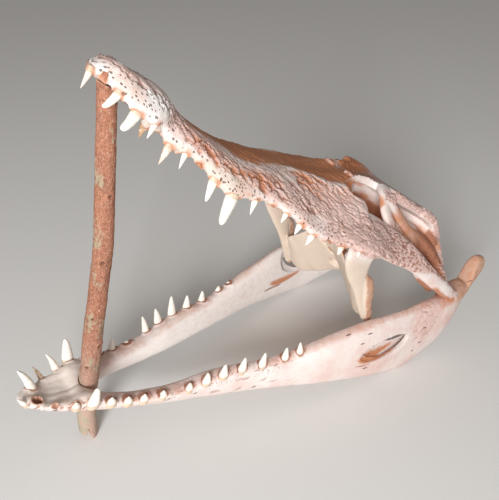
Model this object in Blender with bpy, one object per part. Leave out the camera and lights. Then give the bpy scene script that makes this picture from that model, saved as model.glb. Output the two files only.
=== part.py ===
"""Crocodile skull with its jaws propped open by a branch, at life size.

The cranium and each half of the lower jaw are drawn in their own bone frames, in
millimetres: X runs from the snout tip to the back of the head, Y is the side of the
head (left is negative) and Z is up from the tooth row. Every bone is a profile carried
along a path. The profiles are fused into one solid, the openings are cut from it, the
teeth are joined on, and thin cuts part it along the real bones' seams. Each bone is
then set in the specimen's pose: the lower jaw lies on its two rear corners with its
front end raised, and the cranium is tipped back about the jaw joint.
"""

import math

import bmesh
import bpy
import numpy as np
from mathutils import Matrix, Vector

MM = 0.001
GAP = 0.3                      # between touching bones, mm

# Pose, mm and degrees. The world has the snout at -X and the animal's left at -Y.
JAW_TILT = 8.3                 # front end of the lower jaw raised
JAW_PIVOT = (395.0, 0.0, 2.0)  # point of the jaw frame that stands at (395, 0, 0)
GAPE_TILT = 36.0               # cranium tipped back from level
CRANIUM_YAW = 3.0
CRANIUM_ROLL = 2.2
HINGE_IN_CRANIUM = (438.0, 0.0, -5.0)
HINGE_IN_WORLD = (437.6, -1.1, 76.5)
FRAME_SHIFT = (-257.58, 0.9, 0.0)   # puts the origin under the middle of the whole

# Resolution of the fused solids, mm, and the triangles each is thinned to
VOXEL = 2.1
CRANIUM_TRIANGLES = 2900
JAW_TRIANGLES = 740

# Cranium: snout and face. x, half width, tooth margin, top, palate, shoulder powers
FACE = (
    (0.5, 3.0, 20.0, 23.5, 20.0, 2.2, 2.0),
    (3.0, 7.5, 20.0, 26.8, 19.8, 2.3, 2.0),
    (6.5, 11.2, 21.0, 30.6, 19.5, 2.4, 2.0),
    (12.0, 16.0, 19.0, 34.0, 19.0, 2.4, 2.0),
    (19.0, 21.0, 15.5, 35.2, 18.8, 2.5, 2.0),
    (27.0, 25.0, 12.5, 35.0, 17.5, 2.5, 1.9),
    (36.0, 27.5, 10.0, 34.5, 16.0, 2.5, 1.9),
    (46.0, 28.0, 9.5, 33.5, 14.5, 2.5, 1.9),
    (54.0, 26.0, 10.0, 32.0, 13.0, 2.5, 1.9),
    (61.0, 22.5, 8.5, 29.5, 11.0, 2.5, 1.9),
    (66.0, 22.0, 2.5, 27.0, 9.5, 2.5, 1.9),
    (72.0, 24.0, -1.5, 24.5, 8.5, 2.5, 1.9),
    (84.0, 28.0, 0.5, 21.5, 7.0, 2.6, 1.9),
    (97.0, 33.0, -2.0, 20.0, 5.5, 2.6, 1.9),
    (111.0, 39.5, -8.5, 19.0, 4.5, 2.6, 1.9),
    (128.0, 44.8, -12.5, 18.3, 3.5, 2.6, 1.9),
    (146.0, 46.5, -8.0, 20.5, 3.0, 2.5, 1.8),
    (162.0, 49.5, -4.0, 23.2, 3.0, 2.3, 1.6),
    (178.0, 54.5, -4.5, 26.0, 3.0, 2.1, 1.4),
    (194.0, 59.5, -7.5, 30.5, 2.5, 1.9, 1.25),
    (212.0, 65.5, -11.5, 36.0, 2.0, 1.75, 1.12),
    (228.0, 71.0, -10.0, 40.5, 2.0, 1.7, 1.08),
    (242.0, 76.5, -8.5, 44.0, 2.0, 1.7, 1.06),
    (257.0, 82.0, -4.0, 48.5, 2.0, 1.7, 1.05),
    (268.0, 84.0, -1.0, 52.0, 4.0, 1.7, 1.05),
    (275.0, 81.5, 2.5, 46.0, 7.0, 1.7, 1.05),
    (281.0, 77.0, 6.0, 38.0, 11.0, 1.7, 1.05),
)
RIDGE = (29.0, 7.0, 236.0, 22.0, 3.0)   # preorbital ridge: y, width, x, length, height
TOOTH_ROW = (3.6, 1.8, 3.2, 2.5)        # inset and width at the tip, and their growth

# Skull roof: x, half width, top, thickness, height of the raised orbital rims
ROOF = (
    (240.0, 20.0, 41.5, 8.0, 0.0),
    (252.0, 22.0, 45.5, 9.0, 0.5),
    (262.0, 21.5, 49.5, 9.0, 2.0),
    (271.0, 20.0, 53.0, 9.0, 3.0),
    (284.0, 19.5, 56.2, 9.0, 3.5),
    (295.0, 22.0, 57.8, 9.5, 3.0),
    (304.0, 28.5, 58.3, 10.0, 2.0),
    (312.0, 36.0, 58.6, 11.0, 1.0),
    (320.0, 42.0, 58.8, 12.0, 0.5),
    (336.0, 44.5, 58.8, 13.0, 0.5),
    (352.0, 46.0, 58.6, 13.0, 0.5),
    (370.0, 48.5, 58.3, 13.0, 0.8),
    (384.0, 50.0, 57.8, 13.0, 1.0),
)
# Braincase: x, half width, bottom, top
BRAINCASE = (
    (300.0, 6.0, 26.0, 52.0),
    (314.0, 9.0, 8.0, 53.0),
    (332.0, 14.0, -14.0, 54.0),
    (348.0, 17.0, -25.0, 54.0),
    (362.0, 19.0, -22.0, 54.0),
    (376.0, 21.0, -4.0, 52.0),
    (385.0, 19.0, 10.0, 50.0),
)
# Struts: name, (x, y, z, half width, half thickness) along the path, width direction
JUGAL = (
    (242.0, 57.5, 8.0, 18.0, 4.5),
    (262.0, 64.0, 12.5, 23.5, 5.5),
    (280.0, 67.0, 14.5, 23.5, 5.5),
    (300.0, 70.5, 13.5, 20.5, 5.0),
    (318.0, 75.0, 12.5, 16.0, 5.0),
    (338.0, 80.0, 10.5, 12.0, 5.0),
    (365.0, 84.5, 6.0, 9.5, 4.5),
    (395.0, 88.5, 0.5, 8.5, 4.5),
    (418.0, 90.0, -3.0, 8.0, 5.0),
    (436.0, 89.0, -4.5, 6.0, 5.5),
)
JUGAL_LEAN = ((242.0, 0.90), (262.0, 0.86), (280.0, 0.84), (300.0, 0.78),
              (318.0, 0.60), (338.0, 0.35), (365.0, 0.22), (436.0, 0.15))
POSTORBITAL_BAR = (
    (314.0, 30.0, 51.0, 12.0, 5.5),
    (308.0, 37.5, 47.0, 10.0, 5.0),
    (307.0, 44.0, 39.0, 8.0, 4.0),
    (313.0, 52.0, 30.0, 8.0, 4.0),
    (320.0, 64.0, 19.0, 12.0, 4.5),
)
TEMPORAL_BAR = (
    (308.0, 40.0, 49.0, 8.0, 4.5),
    (320.0, 46.5, 41.0, 6.0, 3.2),
    (341.0, 52.0, 33.0, 5.5, 3.0),
    (368.0, 56.0, 26.0, 6.5, 3.5),
    (396.0, 60.0, 18.5, 8.0, 4.0),
    (416.0, 66.0, 9.0, 9.0, 5.0),
)
QUADRATE = (
    (344.0, 20.0, 28.0, 22.0, 10.0),
    (368.0, 34.0, 29.0, 22.0, 9.5),
    (390.0, 50.0, 25.0, 19.0, 8.5),
    (410.0, 63.0, 14.5, 16.0, 7.0),
    (426.0, 72.0, 3.0, 15.5, 6.0),
    (437.0, 77.0, -4.0, 15.0, 5.5),
)
QUADRATE_WIDTH = ((0.75, -0.66, 0.0), (0.30, -0.95, 0.0))   # its width at each end
QUADRATE_ROOT = (
    (374.0, 37.0, 20.0, 14.0, 5.0),
    (370.0, 31.0, 0.0, 13.0, 5.0),
    (360.0, 18.0, -18.0, 12.0, 5.0),
    (354.0, 8.0, -27.0, 12.0, 5.0),
)
QUADRATE_KEEL = (
    (374.0, 62.0, 12.0, 8.0, 5.0),
    (392.0, 68.0, 1.0, 9.0, 5.0),
    (412.0, 69.0, -4.0, 8.5, 5.5),
    (432.0, 65.0, -8.0, 8.0, 7.0),
)
CONDYLE = ((438.5, 62.0, -9.5, 8.2), (438.5, 70.0, -5.5, 6.0), (438.5, 80.0, -4.5, 6.0),
           (438.5, 90.0, -5.5, 7.0))
SQUAMOSAL_HORN = (
    (366.0, 42.0, 53.0, 9.0, 6.0),
    (383.0, 46.0, 51.5, 8.0, 6.0),
    (395.0, 51.0, 44.5, 6.0, 5.5),
    (404.0, 55.5, 35.0, 5.0, 4.5),
    (415.0, 60.0, 25.0, 4.5, 4.5),
    (426.0, 66.0, 14.0, 4.0, 4.0),
)
PAROCCIPITAL = (
    (376.0, 12.0, 36.0, 12.0, 6.0),
    (384.0, 32.0, 37.0, 11.0, 5.0),
    (392.0, 50.0, 36.0, 9.0, 4.5),
    (396.0, 60.0, 28.0, 6.0, 4.0),
)
BASIOCCIPITAL = (
    (385.0, 0.0, 18.0, 13.0, 7.5),
    (383.0, 0.0, 2.0, 20.0, 9.0),
    (380.0, 0.0, -12.0, 21.0, 9.0),
    (377.0, 0.0, -24.0, 16.0, 7.0),
)
OCCIPITAL_CONDYLE = (391.0, 0.0, 21.0, 8.5)
PALATINE = (
    (190.0, 0.0, 3.0, 16.0, 5.0),
    (220.0, 0.0, 2.0, 14.0, 6.0),
    (250.0, 0.0, 1.0, 12.0, 6.5),
    (278.0, 0.0, -2.0, 12.0, 6.5),
    (298.0, 0.0, -7.0, 14.0, 6.0),
    (316.0, 0.0, -15.0, 18.0, 5.5),
    (332.0, 0.0, -24.0, 18.0, 5.0),
)
PREFRONTAL_PILLAR = (
    (270.0, 14.0, 50.0, 6.0, 3.6),
    (268.0, 12.0, 28.0, 3.6, 2.6),
    (268.0, 9.0, 3.0, 5.0, 3.2),
)
# Pterygoid wing: path from the midline out, half width along the slope, half thickness
PTERYGOID = (
    (337.0, 3.0, -26.5, 34.0, 4.0),
    (341.0, 18.0, -36.0, 31.0, 2.9),
    (344.5, 36.0, -48.5, 28.5, 2.6),
    (346.0, 50.0, -55.5, 25.0, 2.8),
    (349.0, 61.5, -56.0, 20.0, 3.6),
)
PTERYGOID_SLOPE = (0.53, 0.62)           # drop towards the back, at the middle and the edge
PTERYGOID_DROP = {-1: 1.0, 1: 1.08}      # the right wing hangs a little lower
ECTOPTERYGOID = (
    (276.0, 70.0, 10.0, 20.0, 5.5),
    (284.0, 66.0, -6.0, 19.0, 4.6),
    (301.0, 61.0, -24.0, 13.0, 4.0),
    (318.0, 60.0, -37.5, 8.0, 3.6),
    (333.0, 60.0, -49.5, 5.5, 3.4),
    (348.0, 61.0, -61.0, 4.2, 3.2),
    (358.0, 62.0, -68.5, 3.0, 3.0),
)
ECTOPTERYGOID_WIDTH = ((0.90, 0.15, 0.42), (0.69, 0.10, 0.72))   # its width at each end
# Rough free edge of the wing
WING_EDGE = (
    (316.0, 61.0, -26.0, 3.0, 3.0),
    (328.0, 62.5, -33.5, 6.5, 3.6),
    (338.0, 63.0, -43.5, 6.3, 3.8),
    (346.0, 63.3, -52.5, 5.0, 3.6),
    (356.0, 63.5, -61.5, 5.3, 3.6),
    (364.0, 63.5, -70.0, 3.0, 3.0),
)

# Cutters: centre and half sizes
NARIS = (29.0, 0.0, 34.0, 13.0, 11.0, 9.0)
TEMPORAL_WINDOW = (351.0, 25.5, 52.0, 12.0, 9.5, 26.0)
FORAMEN_MAGNUM = (392.0, 0.0, 35.0, 16.0, 8.0, 6.0)
CHOANA = (352.0, 0.0, -41.0, 8.0, 7.0, 6.0)
# Space under the orbit: z, x centre, y centre, half length, half width
ORBIT_SPACE = (
    (-34.0, 256.0, 33.0, 43.0, 16.0),
    (-6.0, 256.0, 33.0, 43.0, 17.0),
    (4.0, 262.0, 35.0, 45.0, 20.0),
    (14.0, 270.0, 37.0, 44.0, 21.0),
    (24.0, 277.0, 34.0, 38.0, 17.0),
    (34.0, 282.0, 33.0, 30.0, 13.0),
    (48.0, 285.0, 34.0, 30.0, 15.0),
    (80.0, 286.0, 35.0, 31.0, 16.0),
)

# Lower jaw half at +Y: x, inner and outer y of the foot, of the top, bottom, top
JAW = (
    (-1.0, -6.0, 4.0, -6.0, 7.0, 27.0, 31.5),
    (3.0, -6.0, 6.0, -6.0, 11.5, 23.5, 33.0),
    (9.0, -8.0, 8.0, -8.0, 16.0, 20.0, 33.5),
    (16.0, -10.0, 10.0, -10.0, 20.5, 16.5, 32.5),
    (26.0, -10.0, 12.5, -10.0, 26.0, 13.5, 31.5),
    (39.0, -10.0, 16.0, -10.0, 31.5, 11.0, 31.0),
    (49.0, -8.0, 19.0, -8.0, 37.0, 10.0, 34.0),
    (53.5, -1.0, 20.0, 0.0, 38.0, 9.6, 33.5),
    (59.0, 6.5, 21.5, 7.5, 38.3, 9.3, 31.5),
    (66.0, 11.0, 23.5, 12.5, 38.5, 9.0, 28.5),
    (76.0, 13.8, 26.0, 16.0, 39.5, 8.5, 26.0),
    (92.0, 18.5, 30.0, 21.5, 42.5, 7.5, 24.5),
    (113.0, 23.0, 35.0, 26.0, 46.5, 6.0, 24.5),
    (137.0, 28.0, 41.0, 30.0, 51.0, 5.0, 27.5),
    (153.0, 31.5, 45.0, 33.0, 54.5, 4.3, 32.5),
    (170.0, 36.0, 49.5, 37.0, 57.0, 4.0, 36.0),
    (190.0, 41.0, 54.5, 42.0, 60.5, 3.8, 38.0),
    (210.0, 46.5, 59.5, 46.5, 64.5, 3.4, 38.5),
    (231.0, 52.0, 66.0, 51.5, 69.5, 3.0, 42.5),
    (248.0, 56.5, 71.5, 55.5, 73.5, 2.6, 47.5),
    (270.0, 62.5, 78.5, 60.0, 78.5, 1.5, 54.5),
    (295.0, 67.5, 85.0, 65.0, 83.0, 0.5, 61.5),
    (320.0, 72.0, 90.0, 70.0, 88.0, -0.8, 68.0),
    (345.0, 76.0, 93.0, 74.5, 91.0, -2.2, 72.0),
    (370.0, 79.0, 95.0, 77.5, 92.5, -2.8, 74.0),
    (381.0, 79.0, 95.5, 77.5, 93.0, -0.8, 75.5),
    (392.0, 78.0, 96.0, 77.0, 94.0, 3.5, 76.5),
    (408.0, 76.5, 96.0, 76.0, 94.5, 9.5, 77.0),
    (422.0, 72.0, 96.0, 72.0, 95.0, 17.0, 77.0),
    (436.0, 67.0, 94.0, 66.0, 94.0, 27.5, 78.5),
    (447.0, 65.5, 91.0, 65.0, 91.0, 40.0, 81.5),
    (458.0, 66.0, 87.0, 65.5, 87.0, 52.0, 82.0),
    (465.0, 66.3, 85.0, 65.8, 85.0, 59.0, 80.0),
    (469.5, 66.5, 84.0, 66.0, 84.0, 63.0, 92.0),
    (473.0, 66.5, 83.0, 66.0, 83.0, 66.5, 103.5),
    (479.0, 67.0, 82.0, 67.0, 82.0, 72.5, 108.5),
    (488.0, 67.5, 80.0, 67.5, 80.0, 81.0, 107.0),
    (493.0, 68.5, 78.5, 68.5, 78.5, 85.5, 103.5),
    (495.2, 70.0, 77.0, 70.0, 77.0, 90.0, 99.5),
)
JAW_POWER = ((0.0, 2.0), (60.0, 2.2), (110.0, 2.7))   # squareness of the section by x
BASIN = (34.0, 24.0, 16.0, 5.0)     # hollow over the chin: x, length, width, depth
GLENOID = (426.0, 84.0)             # axis of the jaw joint, x and z
JOINT_CLEARANCE = 1.9               # around the rollers of the joint
GLENOID_RADIUS = 7.6
FENESTRA = (341.5, 36.0, 30.0, 11.5, 13.0)        # x, z, half length, half height, tilt
ADDUCTOR = (352.0, 84.5, 42.0, 44.0, 3.8, 21.0)   # hollow inside the rear of the jaw
ADDUCTOR_MOUTH = (367.0, 74.0, 55.0, 44.0, 10.5, 27.0)   # where it opens to the inside

# Teeth: x, y, z of the socket, length, radius, lean of the tip to the back
UPPER_TEETH = {
    "pm1": (1.5, 4.4, 20.0, 12.0, 2.3, -0.05),
    "pm3": (18.6, 17.4, 17.0, 11.8, 3.5, -0.42),
    "pm4": (33.8, 22.6, 11.5, 13.8, 4.4, -0.28),
    "pm5": (49.3, 23.5, 11.5, 11.8, 2.2, 0.00),
    "m1": (71.5, 19.4, 0.0, 14.2, 3.3, -0.05),
    "m1_right": (71.5, 19.4, 0.0, 9.5, 2.9, 0.00),
    "m2": (84.0, 23.3, 2.5, 13.2, 2.4, 0.12),
    "m3": (96.0, 28.3, 0.0, 7.0, 2.3, 0.05),
    "m4": (110.4, 34.6, -6.5, 16.2, 3.8, 0.20),
    "m5": (129.4, 40.1, -10.5, 23.0, 5.5, 0.18),
    "m6": (150.5, 42.4, -5.0, 12.6, 2.7, 0.27),
    "m7": (166.0, 46.0, -2.5, 5.0, 2.2, 0.05),
    "m8": (181.5, 50.1, -3.5, 9.0, 2.6, 0.00),
    "m9": (197.8, 55.2, -6.5, 9.8, 2.9, 0.00),
    "m10": (212.6, 60.0, -10.0, 10.0, 3.2, 0.00),
    "m11": (227.5, 65.7, -9.5, 6.0, 2.8, 0.05),
    "m12": (241.4, 71.4, -7.5, 7.0, 2.7, 0.26),
    "m13": (257.2, 78.4, -3.0, 5.5, 2.3, 0.45),
}
UPPER_PRESENT = {
    -1: ("pm1", "pm3", "pm4", "pm5", "m1", "m2", "m4", "m5", "m6", "m8", "m9", "m10",
         "m12", "m13"),
    1: ("m1_right", "m7", "m9", "m10", "m11", "m13"),
}
LOWER_TEETH = {
    "d1": (12.6, 8.6, 31.5, 21.6, 3.9, -0.44),
    "d2": (23.7, 19.8, 29.5, 15.2, 2.2, -0.46),
    "d3": (39.3, 26.9, 29.0, 19.2, 2.8, -0.42),
    "d4": (52.1, 32.6, 32.0, 24.3, 4.4, -0.04),
    "d5": (68.2, 34.2, 26.5, 5.0, 3.8, 0.15),
    "d6": (82.6, 36.7, 23.5, 5.0, 3.8, 0.15),
    "d7": (96.7, 38.9, 22.5, 5.2, 3.9, 0.15),
    "d8": (113.6, 42.0, 22.5, 5.0, 3.8, 0.15),
    "d9": (137.1, 46.3, 26.0, 7.0, 2.8, -0.1),
    "d10": (152.5, 50.0, 31.0, 12.3, 3.2, 0.0),
    "d11": (169.1, 52.2, 34.5, 15.3, 3.5, 0.0),
    "d12": (187.6, 54.5, 36.0, 15.3, 3.5, 0.17),
    "d13": (208.0, 58.0, 36.5, 15.0, 3.4, 0.14),
    "d14": (231.2, 62.8, 40.5, 13.6, 3.2, 0.0),
    "d15": (246.1, 66.0, 44.5, 15.5, 3.1, -0.25),
}
# Where one side differs: length and lean, and 0 for an empty socket
LOWER_OWN = {
    -1: {"d1": (0.0, 0.0), "d2": (0.0, 0.0), "d3": (4.0, 0.0), "d4": (15.5, 0.27)},
    1: {"d5": (0.0, 0.0), "d6": (0.0, 0.0), "d7": (15.5, 0.0), "d8": (4.0, 0.0),
        "d9": (19.8, -0.21), "d10": (17.5, -0.20), "d11": (23.0, -0.08),
        "d12": (16.0, 0.0), "d13": (13.5, 0.0), "d14": (7.0, 0.0), "d15": (4.0, 0.0)},
}

# Branch: world x, y, z (before the shift) and radius, from the foot to the palate
BRANCH = (
    (59.0, 8.5, -6.0, 8.6),
    (61.0, 7.0, 30.0, 8.8),
    (65.6, 4.0, 60.0, 9.0),
    (69.1, 2.2, 78.0, 9.0),
    (75.0, -1.6, 110.0, 8.8),
    (80.2, -5.4, 140.0, 8.5),
    (88.4, -10.2, 180.0, 8.2),
    (94.8, -14.5, 215.0, 8.0),
    (104.0, -23.0, 290.0, 7.4),
    (108.8, -27.5, 330.0, 7.0),
    (112.0, -31.0, 365.0, 6.8),
)
BRANCH_CLEARANCE = 0.5          # between the branch and the notch it passes through
BRANCH_SPLIT = (4.0, 22.0)      # half width and height of the split in the foot
BRANCH_CHIP = 7.5               # the front lobe of the foot ends this far above the floor
BRANCH_TOP = 16.9               # just under the palate, in the cranium's frame

# Cuts between the named bones, in the cranium's frame
PREMAXILLA_END = 61.0
ROSTRUM_END = 259.0
ARCH_CUT = (39.0, 56.0, 440.0)  # y at the rostrum's end, y further back, x there
PTERYGOID_ZONE = (372.0, 76.0, -10.0)   # rear x, greatest y and top z

COLOURS = {
    "bone": ((0.80, 0.70, 0.62), 0.55),
    "bark": ((0.27, 0.13, 0.08), 0.85),
}


# ---------------------------------------------------------------- curves and meshes

def smooth(stations, values, at):
    """Cubic through the stations with limited slopes, so that it never overshoots."""
    stations = np.asarray(stations, float)
    values = np.asarray(values, float).reshape(len(stations), -1)
    step = np.diff(stations)[:, None]
    slope = np.diff(values, axis=0) / step
    before, after = slope[:-1], slope[1:]
    agree = before * after > 0
    weight_1 = 2 * step[1:] + step[:-1]
    weight_2 = step[1:] + 2 * step[:-1]
    safe_before = np.where(agree, before, 1.0)
    safe_after = np.where(agree, after, 1.0)
    mean = (weight_1 + weight_2) / (weight_1 / safe_before + weight_2 / safe_after)
    tangent = np.vstack([slope[:1], np.where(agree, mean, 0.0), slope[-1:]])
    at = np.clip(np.asarray(at, float), stations[0], stations[-1])
    i = np.clip(np.searchsorted(stations, at, side="right") - 1, 0, len(stations) - 2)
    h = step[i]
    t = ((at - stations[i]) / h[:, 0])[:, None]
    return (values[i] * (1 + 2 * t) * (1 - t) ** 2 + tangent[i] * h * t * (1 - t) ** 2
            + values[i + 1] * t * t * (3 - 2 * t) + tangent[i + 1] * h * t * t * (t - 1))


def ring_solid(rings):
    """Closed mesh through equal rings of points, with a flat cap at each end."""
    count, around = rings.shape[:2]
    bm = bmesh.new()
    verts = [bm.verts.new(p) for p in rings.reshape(-1, 3)]
    for i in range(count - 1):
        for j in range(around):
            k = (j + 1) % around
            bm.faces.new((verts[i * around + j], verts[i * around + k],
                          verts[(i + 1) * around + k], verts[(i + 1) * around + j]))
    bm.faces.new(verts[:around])
    bm.faces.new(verts[-around:])
    bmesh.ops.recalc_face_normals(bm, faces=bm.faces)
    mesh = bpy.data.meshes.new("solid")
    bm.to_mesh(mesh)
    bm.free()
    return mesh


def mirrored(mesh):
    """The same solid on the other side of the head."""
    bm = bmesh.new()
    bm.from_mesh(mesh)
    bmesh.ops.transform(bm, matrix=Matrix.Scale(-1, 4, (0, 1, 0)), verts=bm.verts)
    bmesh.ops.recalc_face_normals(bm, faces=bm.faces)
    other = bpy.data.meshes.new("solid")
    bm.to_mesh(other)
    bm.free()
    return other


def both_sides(meshes):
    return list(meshes) + [mirrored(m) for m in meshes]


def strut(rows, width_direction, sides=14, steps=16, power=2.4):
    """A superellipse profile carried along a smooth path.

    rows are (x, y, z, half width, half thickness); width_direction gives the way the
    profile's width points, as a function of the part of the way along.
    """
    rows = np.asarray(rows, float)
    length = np.r_[0, np.cumsum(np.linalg.norm(np.diff(rows[:, :3], axis=0), axis=1))]
    part = np.linspace(0, 1, steps)
    at = smooth(length / length[-1], rows, part)
    along = np.gradient(at[:, :3], axis=0)
    along /= np.linalg.norm(along, axis=1)[:, None]
    wide = np.array([width_direction(t) for t in part], float)
    wide -= along * np.sum(wide * along, axis=1)[:, None]
    wide /= np.linalg.norm(wide, axis=1)[:, None]
    thick = np.cross(along, wide)
    angle = np.linspace(0, 2 * np.pi, sides, endpoint=False)
    c, s = np.cos(angle), np.sin(angle)
    cu = np.sign(c) * np.abs(c) ** (2 / power)
    su = np.sign(s) * np.abs(s) ** (2 / power)
    rings = (at[:, None, :3] + wide[:, None] * cu[None, :, None] * at[:, None, 3:4]
             + thick[:, None] * su[None, :, None] * at[:, None, 4:5])
    return ring_solid(rings)


def blob(centre, half, sides=20, steps=12):
    """Ellipsoid."""
    bm = bmesh.new()
    bmesh.ops.create_uvsphere(bm, u_segments=sides, v_segments=steps, radius=1.0)
    bmesh.ops.scale(bm, vec=Vector(half), verts=bm.verts)
    bmesh.ops.translate(bm, vec=Vector(centre), verts=bm.verts)
    mesh = bpy.data.meshes.new("blob")
    bm.to_mesh(mesh)
    bm.free()
    return mesh


def box(low, high):
    """Box between two corners."""
    low, high = Vector(low), Vector(high)
    bm = bmesh.new()
    bmesh.ops.create_cube(bm, size=1.0)
    bmesh.ops.scale(bm, vec=high - low, verts=bm.verts)
    bmesh.ops.translate(bm, vec=(high + low) / 2, verts=bm.verts)
    mesh = bpy.data.meshes.new("box")
    bm.to_mesh(mesh)
    bm.free()
    return mesh


def joined(meshes):
    """One mesh holding all the given closed bodies."""
    bm = bmesh.new()
    for mesh in meshes:
        bm.from_mesh(mesh)
    result = bpy.data.meshes.new("joined")
    bm.to_mesh(result)
    bm.free()
    return result


def worked(mesh, *modifiers):
    """The mesh after the given modifiers, each a type and its settings."""
    thing = bpy.data.objects.new("work", mesh)
    bpy.context.scene.collection.objects.link(thing)
    helpers = []
    for kind, settings in modifiers:
        modifier = thing.modifiers.new(kind.lower(), kind)
        for key, value in settings.items():
            if isinstance(value, bpy.types.Mesh):
                value = bpy.data.objects.new("helper", value)
                bpy.context.scene.collection.objects.link(value)
                helpers.append(value)
            setattr(modifier, key, value)
    graph = bpy.context.evaluated_depsgraph_get()
    graph.update()
    result = bpy.data.meshes.new_from_object(thing.evaluated_get(graph))
    for used in helpers + [thing]:
        bpy.data.objects.remove(used)
    return result


def minus(mesh, cutter):
    return worked(mesh, ("BOOLEAN", {"operation": "DIFFERENCE", "object": cutter}))


def plus(mesh, other):
    return worked(mesh, ("BOOLEAN", {"operation": "UNION", "object": other}))


def common(mesh, other):
    return worked(mesh, ("BOOLEAN", {"operation": "INTERSECT", "object": other}))


def whole_parts(mesh, least=12):
    """The mesh without crumbs of fewer faces than this, as thin cuts can leave."""
    bm = bmesh.new()
    bm.from_mesh(mesh)
    bmesh.ops.dissolve_degenerate(bm, dist=1e-4, edges=bm.edges)
    unseen = set(bm.faces)
    while unseen:
        group, edge = set(), [unseen.pop()]
        while edge:
            face = edge.pop()
            group.add(face)
            near = {f for e in face.edges for f in e.link_faces} & unseen
            unseen -= near
            edge.extend(near)
        if len(group) < least:
            bmesh.ops.delete(bm, geom=list(group), context="FACES")
    bmesh.ops.delete(bm, geom=[v for v in bm.verts if not v.link_faces], context="VERTS")
    bm.to_mesh(mesh)
    bm.free()
    return mesh


def fused(meshes):
    """One skin over all the overlapping bodies."""
    return worked(joined(meshes), ("REMESH", {"mode": "VOXEL", "voxel_size": VOXEL}))


def thinned(mesh, triangles):
    """Softened where profiles meet, and reduced to about this many triangles."""
    soft = worked(mesh, ("SMOOTH", {"factor": 0.5, "iterations": 3}))
    soft.calc_loop_triangles()
    share = min(1.0, triangles / len(soft.loop_triangles))
    return worked(soft, ("DECIMATE", {"ratio": share}))


def tooth(x, y, z, length, radius, lean, side, up):
    """A slightly curved cone, from 4 mm inside its socket to its tip."""
    stations = np.array([-4.0, 0.4 * length, 0.78 * length, length])
    radii = np.array([1.0, 0.84, 0.45, 0.14]) * radius
    share = np.clip(stations / length, 0, 1)
    splay = 0.10
    centre = np.stack([x + lean * stations * (0.6 + 0.4 * share),
                       side * (y + splay * stations * (1 - 0.7 * share)),
                       z + up * stations], axis=1)
    angle = np.linspace(0, 2 * np.pi, 6, endpoint=False)
    ring = np.stack([np.cos(angle), 0.85 * np.sin(angle), 0 * angle], axis=1)
    return ring_solid(centre[:, None] + ring[None] * radii[:, None, None])


# ---------------------------------------------------------------- cranium

def face():
    """Snout and face: one closed section carried from the snout tip to the orbits."""
    rows = np.asarray(FACE)
    xs = np.r_[np.linspace(rows[0, 0], 20, 11), np.linspace(24, rows[-1, 0], 44)]
    width, margin, top, palate, p, q = smooth(rows[:, 0], rows[:, 1:], xs).T[..., None]
    angle = np.linspace(0, 2 * np.pi, 36, endpoint=False)[None]
    c, s = np.cos(angle), np.sin(angle)
    y = width * np.sign(c) * np.abs(c) ** 0.85
    share = np.clip(np.abs(y) / width, 0, 1)
    side = margin + 5.0
    above = side + (top - side) * (1 - share ** p) ** (1 / q)
    ridge_y, ridge_w, ridge_x, ridge_l, ridge_h = RIDGE
    above += ridge_h * np.exp(-((np.abs(y) - ridge_y) / ridge_w) ** 2
                              - ((xs[:, None] - ridge_x) / ridge_l) ** 2)
    inset, more_inset, spread, more_spread = TOOTH_ROW
    back = np.clip((xs[:, None] - 25) / 35, 0, 1)
    row_y = width - inset - more_inset * back
    tooth_row = np.exp(-((np.abs(y) - row_y) / (spread + more_spread * back)) ** 2)
    floor = palate + (margin - palate) * tooth_row
    below = side - (side - floor) * (1 - share ** 6) ** (1 / 3)
    z = np.where(s >= 0, above, below)
    return ring_solid(np.stack([xs[:, None] + 0 * y, y, z], axis=2))


def roof():
    """Skull roof: bar between the orbits widening into the flat skull table."""
    rows = np.asarray(ROOF)
    xs = np.linspace(rows[0, 0], rows[-1, 0], 26)
    width, top, thick, rim = smooth(rows[:, 0], rows[:, 1:], xs).T[..., None]
    angle = np.linspace(0, 2 * np.pi, 28, endpoint=False)[None]
    c, s = np.cos(angle), np.sin(angle)
    y = width * np.sign(c) * np.abs(c) ** 0.6
    z = top - thick / 2 + thick / 2 * np.sign(s) * np.abs(s) ** 0.5
    z = z + np.where(s > 0, rim * (np.abs(y) / width) ** 4 - rim / 2, 0)
    return ring_solid(np.stack([xs[:, None] + 0 * y, y, z], axis=2))


def braincase():
    rows = np.asarray(BRAINCASE)
    xs = np.linspace(rows[0, 0], rows[-1, 0], 12)
    width, low, high = smooth(rows[:, 0], rows[:, 1:], xs).T[..., None]
    angle = np.linspace(0, 2 * np.pi, 20, endpoint=False)[None]
    c, s = np.cos(angle), np.sin(angle)
    y = width * np.sign(c) * np.abs(c) ** 0.8
    z = (high + low) / 2 + (high - low) / 2 * np.sign(s) * np.abs(s) ** 0.8
    return ring_solid(np.stack([xs[:, None] + 0 * y, y, z], axis=2))


def jugal():
    """Broad plate beside the orbit that narrows to the bar of the cheek."""
    lean = np.asarray(JUGAL_LEAN)
    rows = np.asarray(JUGAL)
    span = rows[-1, 0] - rows[0, 0]

    def wide(part):
        sine = np.interp(rows[0, 0] + part * span, lean[:, 0], lean[:, 1])
        return (0, sine, -math.sqrt(1 - sine * sine))
    return strut(JUGAL, wide, sides=16, steps=24)


def wing(side):
    """Pterygoid wing: a thin plate sloping down to the back and to its free edge."""
    rows = np.asarray(PTERYGOID)
    rows = rows * (1, 1, PTERYGOID_DROP[side], 1, 1)
    at_middle, at_edge = PTERYGOID_SLOPE

    def wide(part):
        sine = at_middle + (at_edge - at_middle) * part
        return (math.sqrt(1 - sine * sine), 0, -sine)
    plate = strut(rows, wide, sides=16, steps=14)
    return plate if side > 0 else mirrored(plate)


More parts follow.
